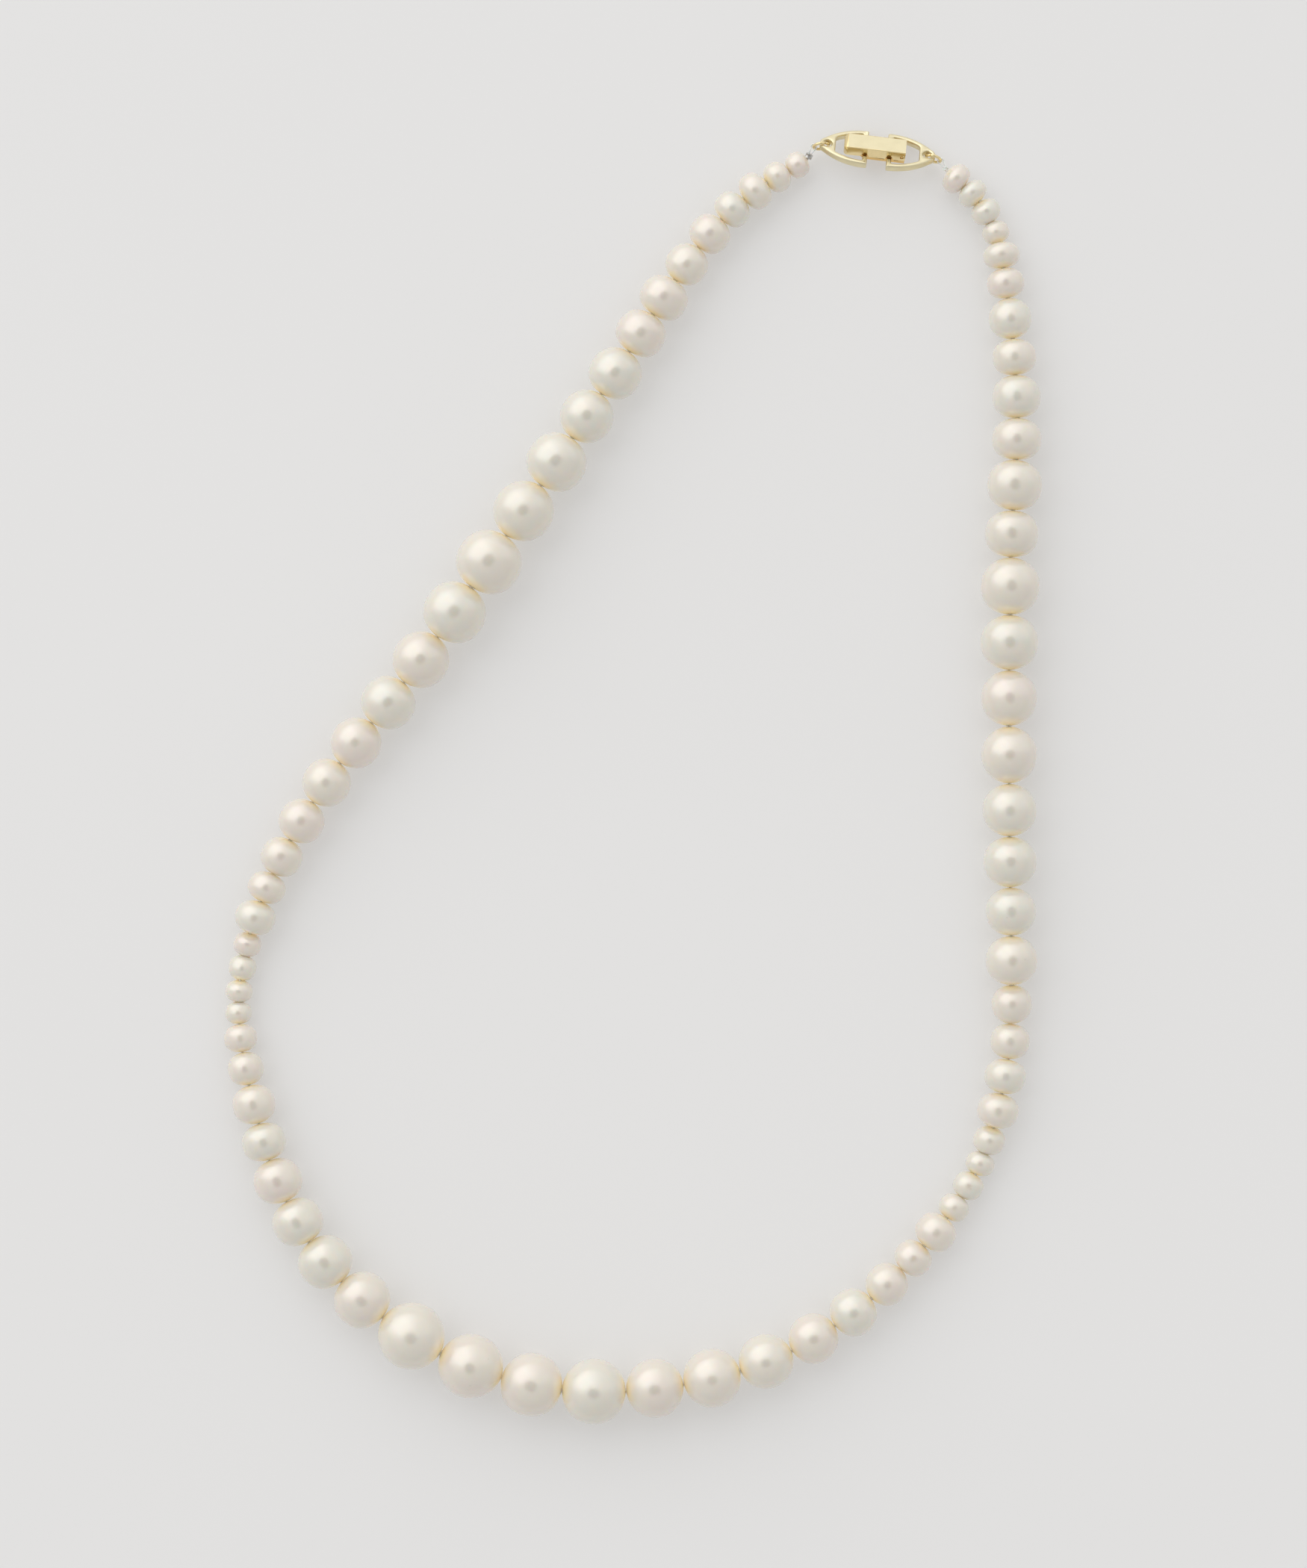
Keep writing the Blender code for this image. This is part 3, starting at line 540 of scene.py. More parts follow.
def gold(name, colour, dark, roughness, rougher, depth):
    """Gold with rubbed patches and fine scratches."""
    found = bpy.data.materials.get(name)
    if found:
        return found
    made, tree, shader, place = new_material(name)
    wear = use_group(tree, shared("handled_metal", wear_group), place)
    patches = wear.outputs["Patches"]
    set_shader(tree, shader, Metallic=1.0, Normal=bumped(tree, wear.outputs["Height"], 0.25, depth),
               Base_Color=mix_colour(tree, patches, (*colour, 1.0), (*dark, 1.0)),
               Roughness=spread(tree, patches, 0.0, 1.0, roughness, roughness + rougher))
    return made


def polished_gold():
    colour = Vector(bpy.context.scene.necklace_gold.polished)
    return gold("polished_gold", colour, colour * 0.96, 0.16, 0.08, 0.004 * MM)


def satin_gold():
    colour = Vector(bpy.context.scene.necklace_gold.satin)
    return gold("satin_gold", colour, colour * 0.97, 0.33, 0.08, 0.010 * MM)


# Gold with painted shade and reflection: darker and more amber, for the parts under the cover.
def shaded_gold():
    colour = Vector(bpy.context.scene.necklace_gold.under_cover_shade)
    return gold("shaded_gold", colour, colour * 0.94, 0.18, 0.08, 0.004 * MM)


def crimp_silver():
    colour = Vector((0.60, 0.59, 0.57))
    return gold("crimped_silver", colour, colour * 0.72, 0.24, 0.16, 0.008 * MM)


def silk():
    """Twisted white silk: slanting plies and a soft sheen."""
    found = bpy.data.materials.get("twisted_silk")
    if found:
        return found
    made, tree, shader, place = new_material("twisted_silk")
    slant = add(tree, "ShaderNodeMapping", {"Vector": place, "Rotation": (0.5, 0.3, 0.8)})
    ply = add(tree, "ShaderNodeTexWave", {"Vector": slant.outputs["Vector"], "Scale": 2600.0,
                                          "Distortion": 1.2, "Detail": 2.0})
    fuzz = use_group(tree, shared("soft_clouds", clouds_group), place, Scale=7000.0, Detail=3.0)
    light = bpy.context.scene.necklace_silk.colour
    # Painted shade in the ply grooves: the silk's colour is darker where the ply height is low, standing in for
    # the shade between the plies.
    dark = Vector(light) * 0.90
    colour = mix_colour(tree, spread(tree, ply.outputs["Fac"], 0.1, 0.7), (*dark, 1.0), (*light, 1.0))
    set_shader(tree, shader, Base_Color=colour, Normal=bumped(tree, ply.outputs["Fac"], 0.35, 0.006 * MM),
               Roughness=spread(tree, fuzz.outputs["Mask"], 0.0, 1.0, 0.55, 0.75), Sheen_Weight=0.35,
               Sheen_Roughness=0.4, Subsurface_Weight=0.15, Subsurface_Scale=0.3 * MM)
    return made


# ------------------------ pearls
DRILL_SHARE = 0.12      # the drill hole's radius, as a share of the pearl's
RIM_EASE = 0.022        # the rounding of the hole's rims, as a share of the pearl's radius
FULLEST = 2.4           # the power of the fullest shoulders, where 2 is a plain ellipsoid
MOUTH_START = 0.62      # where the painted crease light starts, from the middle to the end of the hole
MOUTH_LENGTH = 0.37


def model_pearl(segments):
    """One drilled pearl of radius one, with its hole along Z and the hole's rims eased."""
    start_clean()
    bpy.ops.mesh.primitive_uv_sphere_add(segments=segments, ring_count=segments * 2 // 3, radius=1.0)
    item = bpy.context.object
    rim = math.cos(math.asin(DRILL_SHARE)) - 0.004
    delete_faces(item, lambda face: abs(face.center.z) > rim)
    tall = max(vertex.co.z for vertex in item.data.vertices)

    def on_rim(edge):
        return all(abs(abs(end.z) - tall) < 1e-4 for end in ends_of(item, edge))

    pick(item, "EDGE", on_rim)
    bpy.ops.mesh.bridge_edge_loops()
    bpy.ops.object.mode_set(mode="OBJECT")
    pick(item, "EDGE", on_rim)
    bpy.ops.mesh.bevel(offset=RIM_EASE, segments=2, affect="EDGES")
    bpy.ops.mesh.select_all(action="SELECT")
    bpy.ops.mesh.normals_make_consistent(inside=False)
    bpy.ops.object.mode_set(mode="OBJECT")
    bpy.ops.object.shade_smooth()
    return item


def shape_pearl(mesh, radius, half_length, seed, unevenness):
    """Make a copy of the round pearl its own size and slightly uneven, and give back its drill mouths."""
    count = len(mesh.vertices)
    round_form = np.zeros(count * 3, np.float32)
    mesh.vertices.foreach_get("co", round_form)
    round_form = round_form.reshape(-1, 3).astype(float)
    wobble = np.array([
        noise.noise(Vector(point) * 0.9 + Vector((seed * 3.7, 1.3, 5.1))) for point in round_form
    ])
    swell = 1.0 - unevenness * (0.5 + 0.5 * np.clip(wobble * 1.6, -1.0, 1.0))
    # A pearl that is short for its width has fuller shoulders.
    power = min(2.0 + 3.0 * max(1.0 - half_length / radius, 0.0), FULLEST)
    across = np.hypot(round_form[:, 0], round_form[:, 1])
    shoulder = (across ** power + np.abs(round_form[:, 2]) ** power) ** (-1.0 / power)
    # The ends on the thread stay where they are, so that the gaps stay even.
    hold = np.abs(round_form[:, 2]) ** 4
    swell = swell * (1.0 - hold) + hold
    shaped = round_form * (swell * shoulder)[:, None] * np.array([radius, radius, half_length])
    mesh.vertices.foreach_set("co", shaped.astype(np.float32).ravel())
    return np.clip((np.abs(round_form[:, 2]) - MOUTH_START) / MOUTH_LENGTH, 0.0, 1.0) ** 2.0


def mark(mesh, name, values):
    """Store one number for each point, for the material to read."""
    mesh.attributes.new(name, "FLOAT", "POINT").data.foreach_set("value", np.asarray(values, np.float32))


class NECKLACE_OT_pearls(bpy.types.Operator):
    """Model one drilled pearl and string seventy-four uneven copies of it along the thread"""

    bl_idname = "necklace.pearls"
    bl_label = "Pearls"

    def execute(self, context):
        settings = context.scene.necklace_pearls
        pattern = model_pearl(settings.segments)
        chance = np.random.default_rng(74)
        for number, node, start, end, radius in SPOTS:
            name = f"nacre_{number:02d}"
            mesh = pattern.data.copy()
            half_length = (end - start).length / 2 - settings.gap / 2
            tint = chance.random()
            spin = chance.random() * math.tau
            mouth = shape_pearl(mesh, radius, half_length, number, settings.unevenness)
            mark(mesh, "tint", np.full(len(mesh.vertices), tint))
            mark(mesh, "mouth", mouth)
            pearl = bpy.data.objects.new(name, mesh)
            context.scene.collection.objects.link(pearl)
            along = (end - start).normalized()
            side = along.cross(UP).normalized()
            axes = Matrix((side, side.cross(along), along)).transposed().to_4x4()
            turned = axes @ Matrix.Rotation(spin, 4, "Z")
            place_in_mesh(pearl, Matrix.Translation((start + end) / 2) @ turned)
            finish_piece(pearl, name, [nacre()], BODY_OF[node], [node])
        bpy.data.objects.remove(pattern, do_unlink=True)
        return {"FINISHED"}


# ------------------------ silk
def section_of(number):
    """The body that this pearl rides on."""
    return BODY_OF[SPOTS[number - 1][1]]


class NECKLACE_OT_thread(bpy.types.Operator):
    """Run the silk through the pearls, in stretches that end where the necklace folds"""

    bl_idname = "necklace.thread"
    bl_label = "Thread"

    def execute(self, context):
        radius = context.scene.necklace_silk.radius
        stretches = []
        for number in range(1, len(SPOTS) + 1):
            if stretches and section_of(number) == section_of(number - 1):
                stretches[-1].append(number)
            else:
                stretches.append([number])
        for order, numbers in enumerate(stretches, start=1):
            points = [TURNS[numbers[0] - 1]] + [TURNS[number] for number in numbers]
            if order == 1:
                points.insert(0, THREAD[0])
            if order == len(stretches):
                points.append(THREAD[-1])
            item = round_lines(f"silk_{order:02d}", [points], radius)
            smooth_edges(item, 60.0)
            finish_piece(item, f"silk_{order:02d}", [silk()], section_of(numbers[0]), ["thread"])
        return {"FINISHED"}


def ring_facts(side):
    """A jump ring's middle, its ways towards its end pearl and up, its radius and its wire's radius."""
    skin = np.unique(np.round(points_of(f"{side}_ring"), 7), axis=0)
    middle = skin.mean(axis=0)
    offset = skin - middle
    normal = Vector(np.linalg.svd(offset, full_matrices=False)[2][2])
    reach = UP.cross(normal).normalized()
    turn = TURNS[0] if side == "left" else TURNS[-1]
    if reach.dot(turn - Vector(middle)) < 0:
        reach.negate()
    up = reach.cross(normal).normalized()
    if up.z < 0:
        up.negate()
    away = np.linalg.norm(offset, axis=1)
    return Vector(middle), reach, up, (away.max() + away.min()) / 2, (away.max() - away.min()) / 2


def end_facts(side):
    """Where a thread end leaves its pearl and meets its ring, its ways along and across, and how far along
    its bead starts and ends, and the bead's half width."""
    middle, reach, _, radius, _ = ring_facts(side)
    start = TURNS[0] if side == "left" else TURNS[-1]
    wire = middle + reach * radius
    along = (wire - start).normalized()
    across = along.cross(UP).normalized()
    offset = points_of(END_BEADS[side]) - np.array(start)
    way = offset @ np.array(along)
    width = np.linalg.norm(offset - np.outer(way, np.array(along)), axis=1).max()
    return start, wire, along, across, way.min(), way.max(), width


def plied(points, radius, plies, turns):
    """Lines of thin plies that wind round a line of points."""
    ways = [(b - a).normalized() for a, b in zip(points[:-1], points[1:])]
    ways.append(ways[-1])
    lines = [[] for _ in range(plies)]
    side = ways[0].orthogonal().normalized()
    for index, (point, way) in enumerate(zip(points, ways)):
        side = (side - way * side.dot(way)).normalized()
        over = way.cross(side)
        for ply, line in enumerate(lines):
            angle = math.tau * (turns * index / (len(points) - 1) + ply / plies)
            line.append(point + (side * math.cos(angle) + over * math.sin(angle)) * radius)
    return lines


def loop_line(start, wire, along, across, foot_way, ring_wire, thread):
    """The middle line of a thread loop: out of the bead, round the ring's wire and back."""
    clear = 0.05 * MM
    apart = 0.02 * MM
    swing = ring_wire + thread + clear
    leg = across * (thread + apart)
    foot = start + along * foot_way
    steps = 22
    line = [foot + leg, foot + along * 0.10 * MM + leg]
    for i in range(steps + 1):
        angle = math.radians(215 - 250 * i / steps)
        line.append(wire - across * (swing * math.cos(angle)) + along * (swing * math.sin(angle)))
    line.extend([foot + along * 0.10 * MM - leg, foot - leg])
    return line


class NECKLACE_OT_thread_ends(bpy.types.Operator):
    """Loop the thread's ends round the rings, and close them with a silver crimp and a silk knot"""

    bl_idname = "necklace.thread_ends"
    bl_label = "Thread Ends"

    def execute(self, context):
        thick = context.scene.necklace_silk.loop_radius
        for side in ("left", "right"):
            start, wire, along, across, low, high, width = end_facts(side)
            ring_wire = ring_facts(side)[-1]
            line = loop_line(start, wire, along, across, high - 0.08 * MM, ring_wire, thick)
            item = round_lines(f"{side}_silk_loop", plied(line, thick * 0.45, 2, 9), thick * 0.55)
            smooth_edges(item, 60.0)
            finish_piece(item, f"{side}_silk_loop", [silk()], LAST_SECTION, [f"{side}_loop"])
            up = across.cross(along)
            axes = Matrix((across, up, along)).transposed().to_4x4()
            place = Matrix.Translation(start + along * (low + high) / 2) @ axes
            if side == "left":
                self.crimp(place, high - low, width)
            else:
                self.knot(place, high - low, width)
        return {"FINISHED"}

    def crimp(self, place, length, width):
        """A short silver tube, squeezed in the middle."""
        start_clean()
        bore = 0.27 * MM
        bpy.ops.mesh.primitive_cylinder_add(vertices=32, radius=width, depth=length, end_fill_type="NOTHING")
        item = bpy.context.object
        bpy.ops.object.mode_set(mode="EDIT")
        for share in (-0.30, -0.12, 0.12, 0.30):
            bpy.ops.mesh.select_all(action="SELECT")
            bpy.ops.mesh.bisect(plane_co=(0.0, 0.0, share * length), plane_no=(0.0, 0.0, 1.0))
        bpy.ops.object.mode_set(mode="OBJECT")
        pick(item, "VERT", lambda vertex: abs(vertex.co.z) < 0.2 * length)
        bpy.ops.transform.resize(value=(0.96, 0.74, 1.0))
        bpy.ops.object.mode_set(mode="OBJECT")
        use_modifier(item, "SOLIDIFY", thickness=(width - bore) * 0.6, offset=-1.0)
        use_modifier(item, "BEVEL", width=0.03 * MM, segments=2, limit_method="ANGLE")
        use_modifier(item, "SUBSURF", levels=1, render_levels=1)
        smooth_edges(item, 50.0)
        place_in_mesh(item, place)
        finish_piece(item, "crimp_bead", [crimp_silver()], LAST_SECTION, ["left_crimp"])

    def knot(self, place, length, width):
        """An overhand knot of two-ply silk, drawn down tight."""
        steps = 120
        strand = 0.105 * MM
        margin = strand * 1.6
        reach = width - margin
        line = []
        for i in range(steps):
            turn = math.tau * i / steps
            line.append(Vector((
                (math.sin(turn) + 2 * math.sin(2 * turn)) / 3 * reach,
                (math.cos(turn) - 2 * math.cos(2 * turn)) / 3 * reach,
                -math.sin(3 * turn) * (length / 2 - margin),
            )))
        item = round_lines("silk_knot", plied(line + line[:1], strand * 0.45, 2, 14), strand * 0.62)
        smooth_edges(item, 60.0)
        place_in_mesh(item, place)
        finish_piece(item, "silk_knot", [silk()], LAST_SECTION, ["right_knot"])


# ------------------------ jump rings
class NECKLACE_OT_rings(bpy.types.Operator):
    """Model the two jump rings, each cut through where it was bent open and shut"""

    bl_idname = "necklace.rings"
    bl_label = "Jump Rings"

    def execute(self, context):
        for side in ("left", "right"):
            middle, reach, up, radius, wire = ring_facts(side)
            start_clean()
            bpy.ops.mesh.primitive_torus_add(major_segments=120, minor_segments=20, major_radius=radius,
                                             minor_radius=wire)
            item = bpy.context.object
            cut = math.radians(2.0)
            delete_faces(item, lambda face: abs(math.atan2(face.center.y, face.center.x)) < cut)
            pick(item, "EDGE", lambda edge: True)
            bpy.ops.mesh.fill_holes(sides=0)
            face_outwards(item)
            use_modifier(item, "BEVEL", width=0.02 * MM, segments=2, limit_method="ANGLE",
                         angle_limit=math.radians(60))
            smooth_edges(item, 40.0)
            # The cut stands up and a little back, away from the thread.
            turn_cut = Matrix.Rotation(math.radians(118), 4, "Z")
            axes = Matrix((reach, up, reach.cross(up))).transposed().to_4x4()
            place_in_mesh(item, Matrix.Translation(middle) @ axes @ turn_cut)
            finish_piece(item, f"{side}_jump_ring", [polished_gold()], BODY_OF[f"{side}_ring"],
                         [f"{side}_ring"])
        return {"FINISHED"}


# ------------------------ clasp
EYE_BORE = 0.60 * MM
ARM_WIDTH = 0.66 * MM
ARM_BOW = 8.20 * MM         # radius of the arms' outer edge
BRIDGE = 1.06 * MM          # from the eye's middle to the frame's opening
LUG_LENGTH = 0.62 * MM
LUG_INNER = 1.62 * MM       # from the middle line to a lug's end
PIN_CLEARANCE = 0.04 * MM
WALL = 0.24 * MM            # of the cover
ARCH_CLEARANCE = 0.24 * MM  # round the pins, under the cover's arches


def frame_outline(eye, crown, half_width, end, lug):
    """A frame's rim for the left side: a round eye, two bowed arms and a lug at the end of each."""
    centre = half_width - ARM_BOW

    def edge(u, radius):
        return centre + math.sqrt(radius ** 2 - (crown - u) ** 2)

    inner = ARM_BOW - ARM_WIDTH
    nose = -0.45 * MM
    ease = 0.18 * MM
    steps = 22
    half = []
    for i in range(steps + 1):
        u = nose + (end - ease - nose) * i / steps
        half.append((u, edge(u, ARM_BOW)))
    corner = (end - ease, half[-1][1] - ease)
    half.extend(arc(corner, ease, 75.0, 0.0, 5))
    half.extend(arc((end - ease, LUG_INNER + ease), ease, 0.0, -90.0, 4))
    half.extend(arc((lug + ease, LUG_INNER + ease), ease, -90.0, -180.0, 4))
    inside = edge(lug, inner)
    half.append((lug, inside - 0.22 * MM))
    half.append((lug - 0.05 * MM, inside - 0.09 * MM))
    far = lug - 0.16 * MM
    for i in range(15):
        u = far - (far - BRIDGE - 0.14 * MM) * i / 14
        half.append((u, edge(u, inner)))
    half.append((BRIDGE + 0.03 * MM, edge(BRIDGE, inner) - 0.09 * MM))
    half.append((BRIDGE, edge(BRIDGE, inner) - 0.26 * MM))
    start = math.degrees(math.atan2(half[0][1], half[0][0]))
    head = arc((0.0, 0.0), eye, start, 360.0 - start, 36)[1:-1]
    return head + [(u, -v) for u, v in half] + half[::-1]


class NECKLACE_OT_frames(bpy.types.Operator):
    """Model the clasp's two forked frames, each with an eye, two bowed arms and lugs bored for a pin"""

    bl_idname = "necklace.frames"
    bl_label = "Clasp Frames"

    def execute(self, context):
        edge = context.scene.necklace_gold.frame_edge
        low, high = clasp_box("left_frame")
        span = clasp_box("right_frame")[1].x + low.x
        eye, half_width, thickness = -low.x, high.y, high.z - low.z
        crown = high.x - 0.40 * MM
        outline = frame_outline(eye, crown, half_width, high.x, high.x - LUG_LENGTH)
        bore = ring_of((0.0, 0.0), EYE_BORE, 36)
        for side, pin in (("left", "leaf_pin"), ("right", "catch_bar")):
            u, w, pin_radius, pin_half = pin_place(pin)
            shapes = [outline, bore]
            if side == "right":
                shapes = [[(span - x, y) for x, y in shape] for shape in shapes]
            item = plate(f"{side}_forked_frame", shapes, thickness, edge)
            cut_with(item, cutter_along_v(u, w, pin_radius + PIN_CLEARANCE, pin_half + 0.05 * MM))
            use_modifier(item, "BEVEL", width=0.02 * MM, segments=1, limit_method="ANGLE",
                         angle_limit=math.radians(60))
            smooth_edges(item)
            place_in_mesh(item, CLASP)
            node = f"{side}_frame"
            finish_piece(item, f"{side}_forked_frame", [satin_gold()], BODY_OF[node], [node])
        return {"FINISHED"}


def leaf_outline(pin, bar, hinge, floor, plate_thickness):
    """The leaf from the side: a knuckle, a plate, a cup for the catch bar and a hinge lug."""
    pin_u, bar_u, hinge_u, hinge_w = pin[0], bar[0], hinge[0], hinge[1]
    reach = pin[2] + PIN_CLEARANCE + 0.34 * MM
    cup = bar[2] + 0.10 * MM
    mouth = 0.10 * MM
    lip = 0.30 * MM
    top = floor + plate_thickness
    lug = 0.43 * MM
    outline = arc((pin_u, 0.0), reach, -35.0, 240.0, 30)
    outline.append((pin_u - 0.10 * MM, floor))
    outline.append((hinge_u + lug, floor))
    outline.extend(arc((hinge_u, hinge_w), lug, 0.0, 180.0, 20))
    outline.append((hinge_u - lug, top))
    outline.append((bar_u + reach - 0.02 * MM, top))
    outline.append((bar_u + reach, mouth))
    outline.append((bar_u + cup, mouth))
    outline.extend(arc((bar_u, 0.0), cup, 0.0, -180.0, 20))
    outline.append((bar_u - cup, lip))
    outline.append((bar_u - reach + 0.06 * MM, lip))
    outline.append((bar_u - reach + 0.02 * MM, top))
    return outline


class NECKLACE_OT_leaf(bpy.types.Operator):
    """Model the leaf that the cover folds down on"""

    bl_idname = "necklace.leaf"
    bl_label = "Clasp Leaf"

    def execute(self, context):
        low, high = clasp_box("clasp_leaf")
        pin, bar, hinge = pin_place("leaf_pin"), pin_place("catch_bar"), pin_place("cover_pin")
        outline = leaf_outline(pin, bar, hinge, low.z, 0.36 * MM)
        holes = [ring_of((place[0], place[1]), place[2] + PIN_CLEARANCE, 28) for place in (pin, hinge)]
        item = plate("fold_over_leaf", [outline, *holes], high.y - low.y, 0.05 * MM, 2)
        smooth_edges(item)
        place_in_mesh(item, CLASP @ ALONG_V)
        # The leaf under the cover takes the gold with painted shade.
        finish_piece(item, "fold_over_leaf", [shaded_gold()], BODY_OF["clasp_leaf"], ["clasp_leaf"])
        return {"FINISHED"}


class NECKLACE_OT_cover(bpy.types.Operator):
    """Model the lift-up cover: an open box with a satin top, polished walls and arches over the pins"""

    bl_idname = "necklace.cover"
    bl_label = "Clasp Cover"

    def execute(self, context):
        corner = context.scene.necklace_gold.cover_corner
        low, high = clasp_box("clasp_cover")
        size = high - low
        start_clean()
        bpy.ops.mesh.primitive_cube_add(size=1.0)
        item = bpy.context.object
        bpy.ops.object.mode_set(mode="EDIT")
        bpy.ops.mesh.select_all(action="SELECT")
        bpy.ops.transform.resize(value=size)
        bpy.ops.transform.translate(value=(low + high) / 2)
        bpy.ops.object.mode_set(mode="OBJECT")
        delete_faces(item, lambda face: face.normal.z < -0.9 or face.normal.x > 0.9)
        near = 0.01 * MM

        def at_free_end(edge):
            ends = ends_of(item, edge)
            whole = all(end.x < low.x + near for end in ends)
            return whole and not all(end.z < low.z + near for end in ends)

        def along_top(edge):
            ends = ends_of(item, edge)
            long_way = abs(ends[0].x - ends[1].x) > size.x / 2
            return long_way and all(end.z > high.z - near for end in ends)

        round_off(item, "EDGE", at_free_end, corner * 2.0, 8)
        round_off(item, "EDGE", along_top, corner * 0.45, 4)
        use_modifier(item, "SOLIDIFY", thickness=WALL, offset=-1.0, use_even_offset=True)
        for node, clear in (("leaf_pin", ARCH_CLEARANCE), ("catch_bar", ARCH_CLEARANCE),
                            ("cover_pin", PIN_CLEARANCE)):
            u, w, radius, _ = pin_place(node)
            cut_with(item, cutter_along_v(u, w, radius + clear, size.y))
        use_modifier(item, "BEVEL", width=0.035 * MM, segments=2, limit_method="ANGLE",
                     angle_limit=math.radians(40))
        smooth_edges(item)
        place_in_mesh(item, CLASP)
        finish_piece(item, "lift_up_cover", [satin_gold(), polished_gold()], BODY_OF["clasp_cover"],
                     ["clasp_cover"])
        self.polish_walls(item)
        return {"FINISHED"}

    def polish_walls(self, item):
        """Give the walls and every curved face the polished gold, and leave only the flat top satin."""
        turn = CLASP.to_3x3().inverted()
        for face in item.data.polygons:
            face.material_index = 0 if (turn @ face.normal).z > 0.995 else 1


class NECKLACE_OT_pins(bpy.types.Operator):
    """Model the leaf's pin, the catch bar and the cover's pin, each with eased ends"""

    bl_idname = "necklace.pins"
    bl_label = "Clasp Pins"

    def execute(self, context):
        for node, name in (("leaf_pin", "leaf_hinge_pin"), ("catch_bar", "round_catch_bar"),
                           ("cover_pin", "cover_hinge_pin")):
            u, w, radius, half_length = pin_place(node)
            start_clean()
            bpy.ops.mesh.primitive_cylinder_add(vertices=36, radius=radius, depth=2 * half_length)
            item = bpy.context.object
            round_off(item, "FACE", lambda face: abs(face.normal.z) > 0.9, radius * 0.4, 4)
            smooth_edges(item, 40.0)
            place_in_mesh(item, CLASP @ Matrix.Translation((u, 0.0, w)) @ ALONG_V)
            # The pins take the gold with painted shade from under the cover.
            finish_piece(item, name, [shaded_gold()], BODY_OF[node], [node])
        return {"FINISHED"}


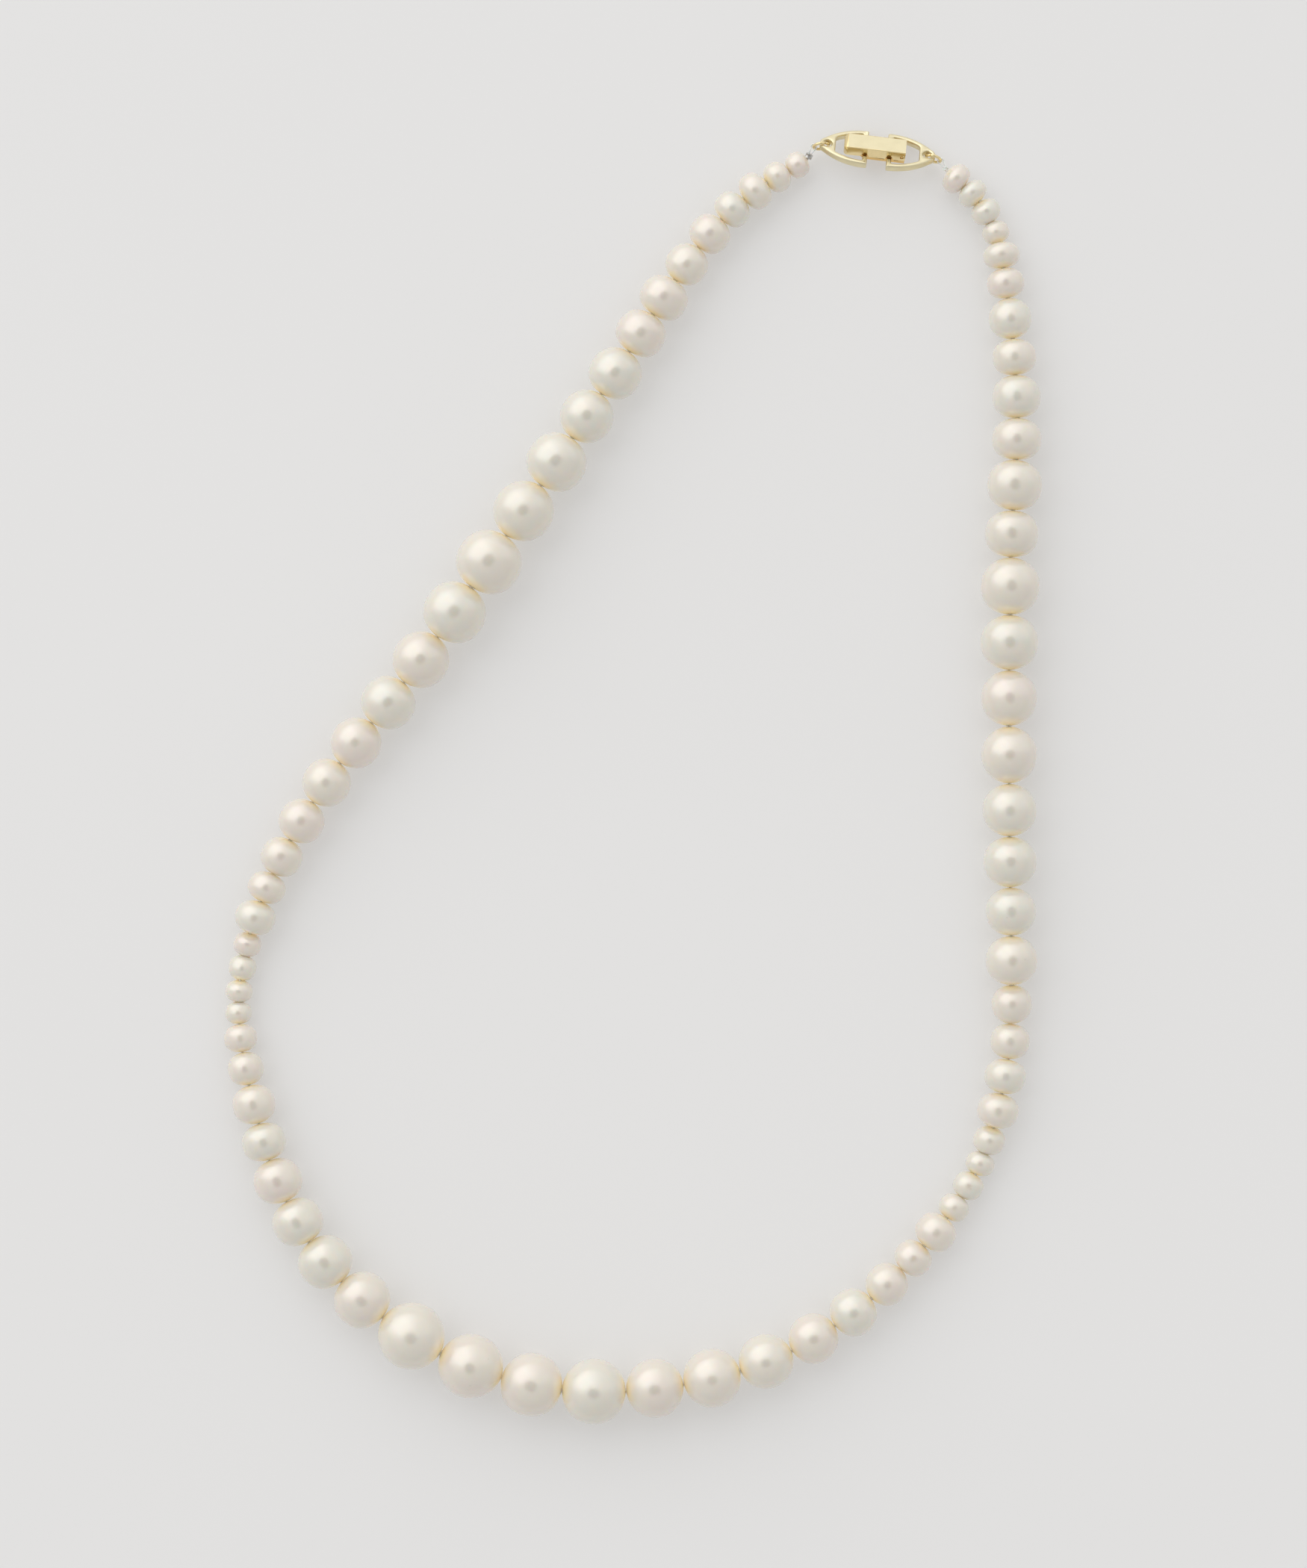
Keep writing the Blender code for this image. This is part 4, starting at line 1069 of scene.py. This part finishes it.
# ------------------------ stage
class NECKLACE_OT_stage(bpy.types.Operator):
    """Set out a pale floor, soft studio light and a camera that looks straight down"""

    bl_idname = "necklace.stage"
    bl_label = "Stage"

    def execute(self, context):
        settings = context.scene.necklace_stage
        middle = Vector((2.8 * MM, -1.15 * MM, 4.0 * MM))
        self.floor(settings)
        self.room(context, settings)
        self.softbox(context, settings, middle)
        self.camera(context, settings, middle)
        return {"FINISHED"}

    def floor(self, settings):
        """A wide pale floor that gives a little light of its own, which softens the shadows."""
        start_clean()
        bpy.ops.mesh.primitive_grid_add(x_subdivisions=4, y_subdivisions=4, size=8.0)
        item = bpy.context.object
        item.name = "floor"
        made, tree, shader, place = new_material("pale_floor")
        soft = use_group(tree, shared("soft_clouds", clouds_group), place, Scale=16.0, Detail=3.0)
        light = Vector(settings.floor)
        colour = mix_colour(tree, soft.outputs["Mask"], (*(light * 0.992), 1.0), (*light, 1.0))
        set_shader(tree, shader, Base_Color=colour, Roughness=0.75, Emission_Color=(1.0, 0.985, 0.965, 1.0),
                   Emission_Strength=settings.floor_light)
        item.data.materials.append(made)

    def room(self, context, settings):
        """Light from all round: brighter from the upper left, and dim straight overhead."""
        world = bpy.data.worlds.new("room")
        world.use_nodes = True
        context.scene.world = world
        tree = world.node_tree
        direction = add(tree, "ShaderNodeTexCoord", {}).outputs["Generated"]
        way = add(tree, "ShaderNodeSeparateXYZ", {0: direction})
        upper = spread(tree, way.outputs["Y"], 0.02, 0.28, 0.72, 1.0)
        brightest = Vector((-0.46, 0.67, 0.56)).normalized()
        aim = add(tree, "ShaderNodeVectorMath", {0: direction, 1: brightest}, operation="DOT_PRODUCT")
        glow = spread(tree, aim.outputs["Value"], 0.50, 0.97, 0.0, 0.64)
        overhead = spread(tree, way.outputs["Z"], 0.915, 0.975, 1.0, 0.05)
        light = calculate(tree, "MULTIPLY", calculate(tree, "ADD", upper, glow), overhead)
        set_shader(tree, tree.nodes["Background"], Color=(0.985, 0.99, 1.0, 1.0),
                   Strength=calculate(tree, "MULTIPLY", light, settings.room))

    def softbox(self, context, settings, middle):
        """A wide soft light on the upper left, turned to the necklace."""
        light = bpy.data.lights.new("softbox", "AREA")
        light.shape = "RECTANGLE"
        light.size = 0.60
        light.size_y = 0.50
        light.energy = settings.key
        light.color = (0.97, 0.985, 1.0)
        item = bpy.data.objects.new("softbox", light)
        context.scene.collection.objects.link(item)
        item.location = middle + Vector((-0.30, 0.32, 0.36))
        item.rotation_euler = (middle - item.location).to_track_quat("-Z", "Y").to_euler()

    def camera(self, context, settings, middle):
        """A camera that looks straight down at the middle of the view."""
        lens = bpy.data.cameras.new("camera")
        lens.sensor_width = 36.0
        lens.lens = lens.sensor_width * settings.distance / settings.height
        lens.clip_start = 0.01
        item = bpy.data.objects.new("camera", lens)
        item.location = middle + UP * settings.distance
        context.scene.collection.objects.link(item)
        context.scene.camera = item


# ------------------------ panel and registration
STEPS = (
    NECKLACE_OT_pearls, NECKLACE_OT_thread, NECKLACE_OT_thread_ends, NECKLACE_OT_rings, NECKLACE_OT_frames,
    NECKLACE_OT_leaf, NECKLACE_OT_cover, NECKLACE_OT_pins, NECKLACE_OT_stage,
)
SETTINGS = {
    "necklace_pearls": PearlSettings, "necklace_gold": GoldSettings,
    "necklace_silk": SilkSettings, "necklace_stage": StageSettings,
}


class NECKLACE_PT_panel(bpy.types.Panel):
    """Lists the necklace's settings and the steps that make it"""

    bl_idname = "NECKLACE_PT_panel"
    bl_label = "Pearl Necklace"
    bl_space_type = "VIEW_3D"
    bl_region_type = "UI"
    bl_category = "Necklace"

    def draw(self, context):
        for name, group in SETTINGS.items():
            box = self.layout.box()
            for label in group.__annotations__:
                box.prop(getattr(context.scene, name), label)
        for step in STEPS:
            self.layout.operator(step.bl_idname)


def register():
    for group in SETTINGS.values():
        bpy.utils.register_class(group)
    for step in (*STEPS, NECKLACE_PT_panel):
        bpy.utils.register_class(step)
    for name, group in SETTINGS.items():
        setattr(bpy.types.Scene, name, PointerProperty(type=group))


def unregister():
    for name in SETTINGS:
        delattr(bpy.types.Scene, name)
    for step in (NECKLACE_PT_panel, *reversed(STEPS)):
        bpy.utils.unregister_class(step)
    for group in SETTINGS.values():
        bpy.utils.unregister_class(group)


def main():
    """Make the whole necklace."""
    register()
    bpy.context.scene.view_settings.view_transform = "Standard"
    for step in STEPS:
        family, action = step.bl_idname.split(".")
        getattr(getattr(bpy.ops, family), action)()


if __name__ == "__main__":
    main()
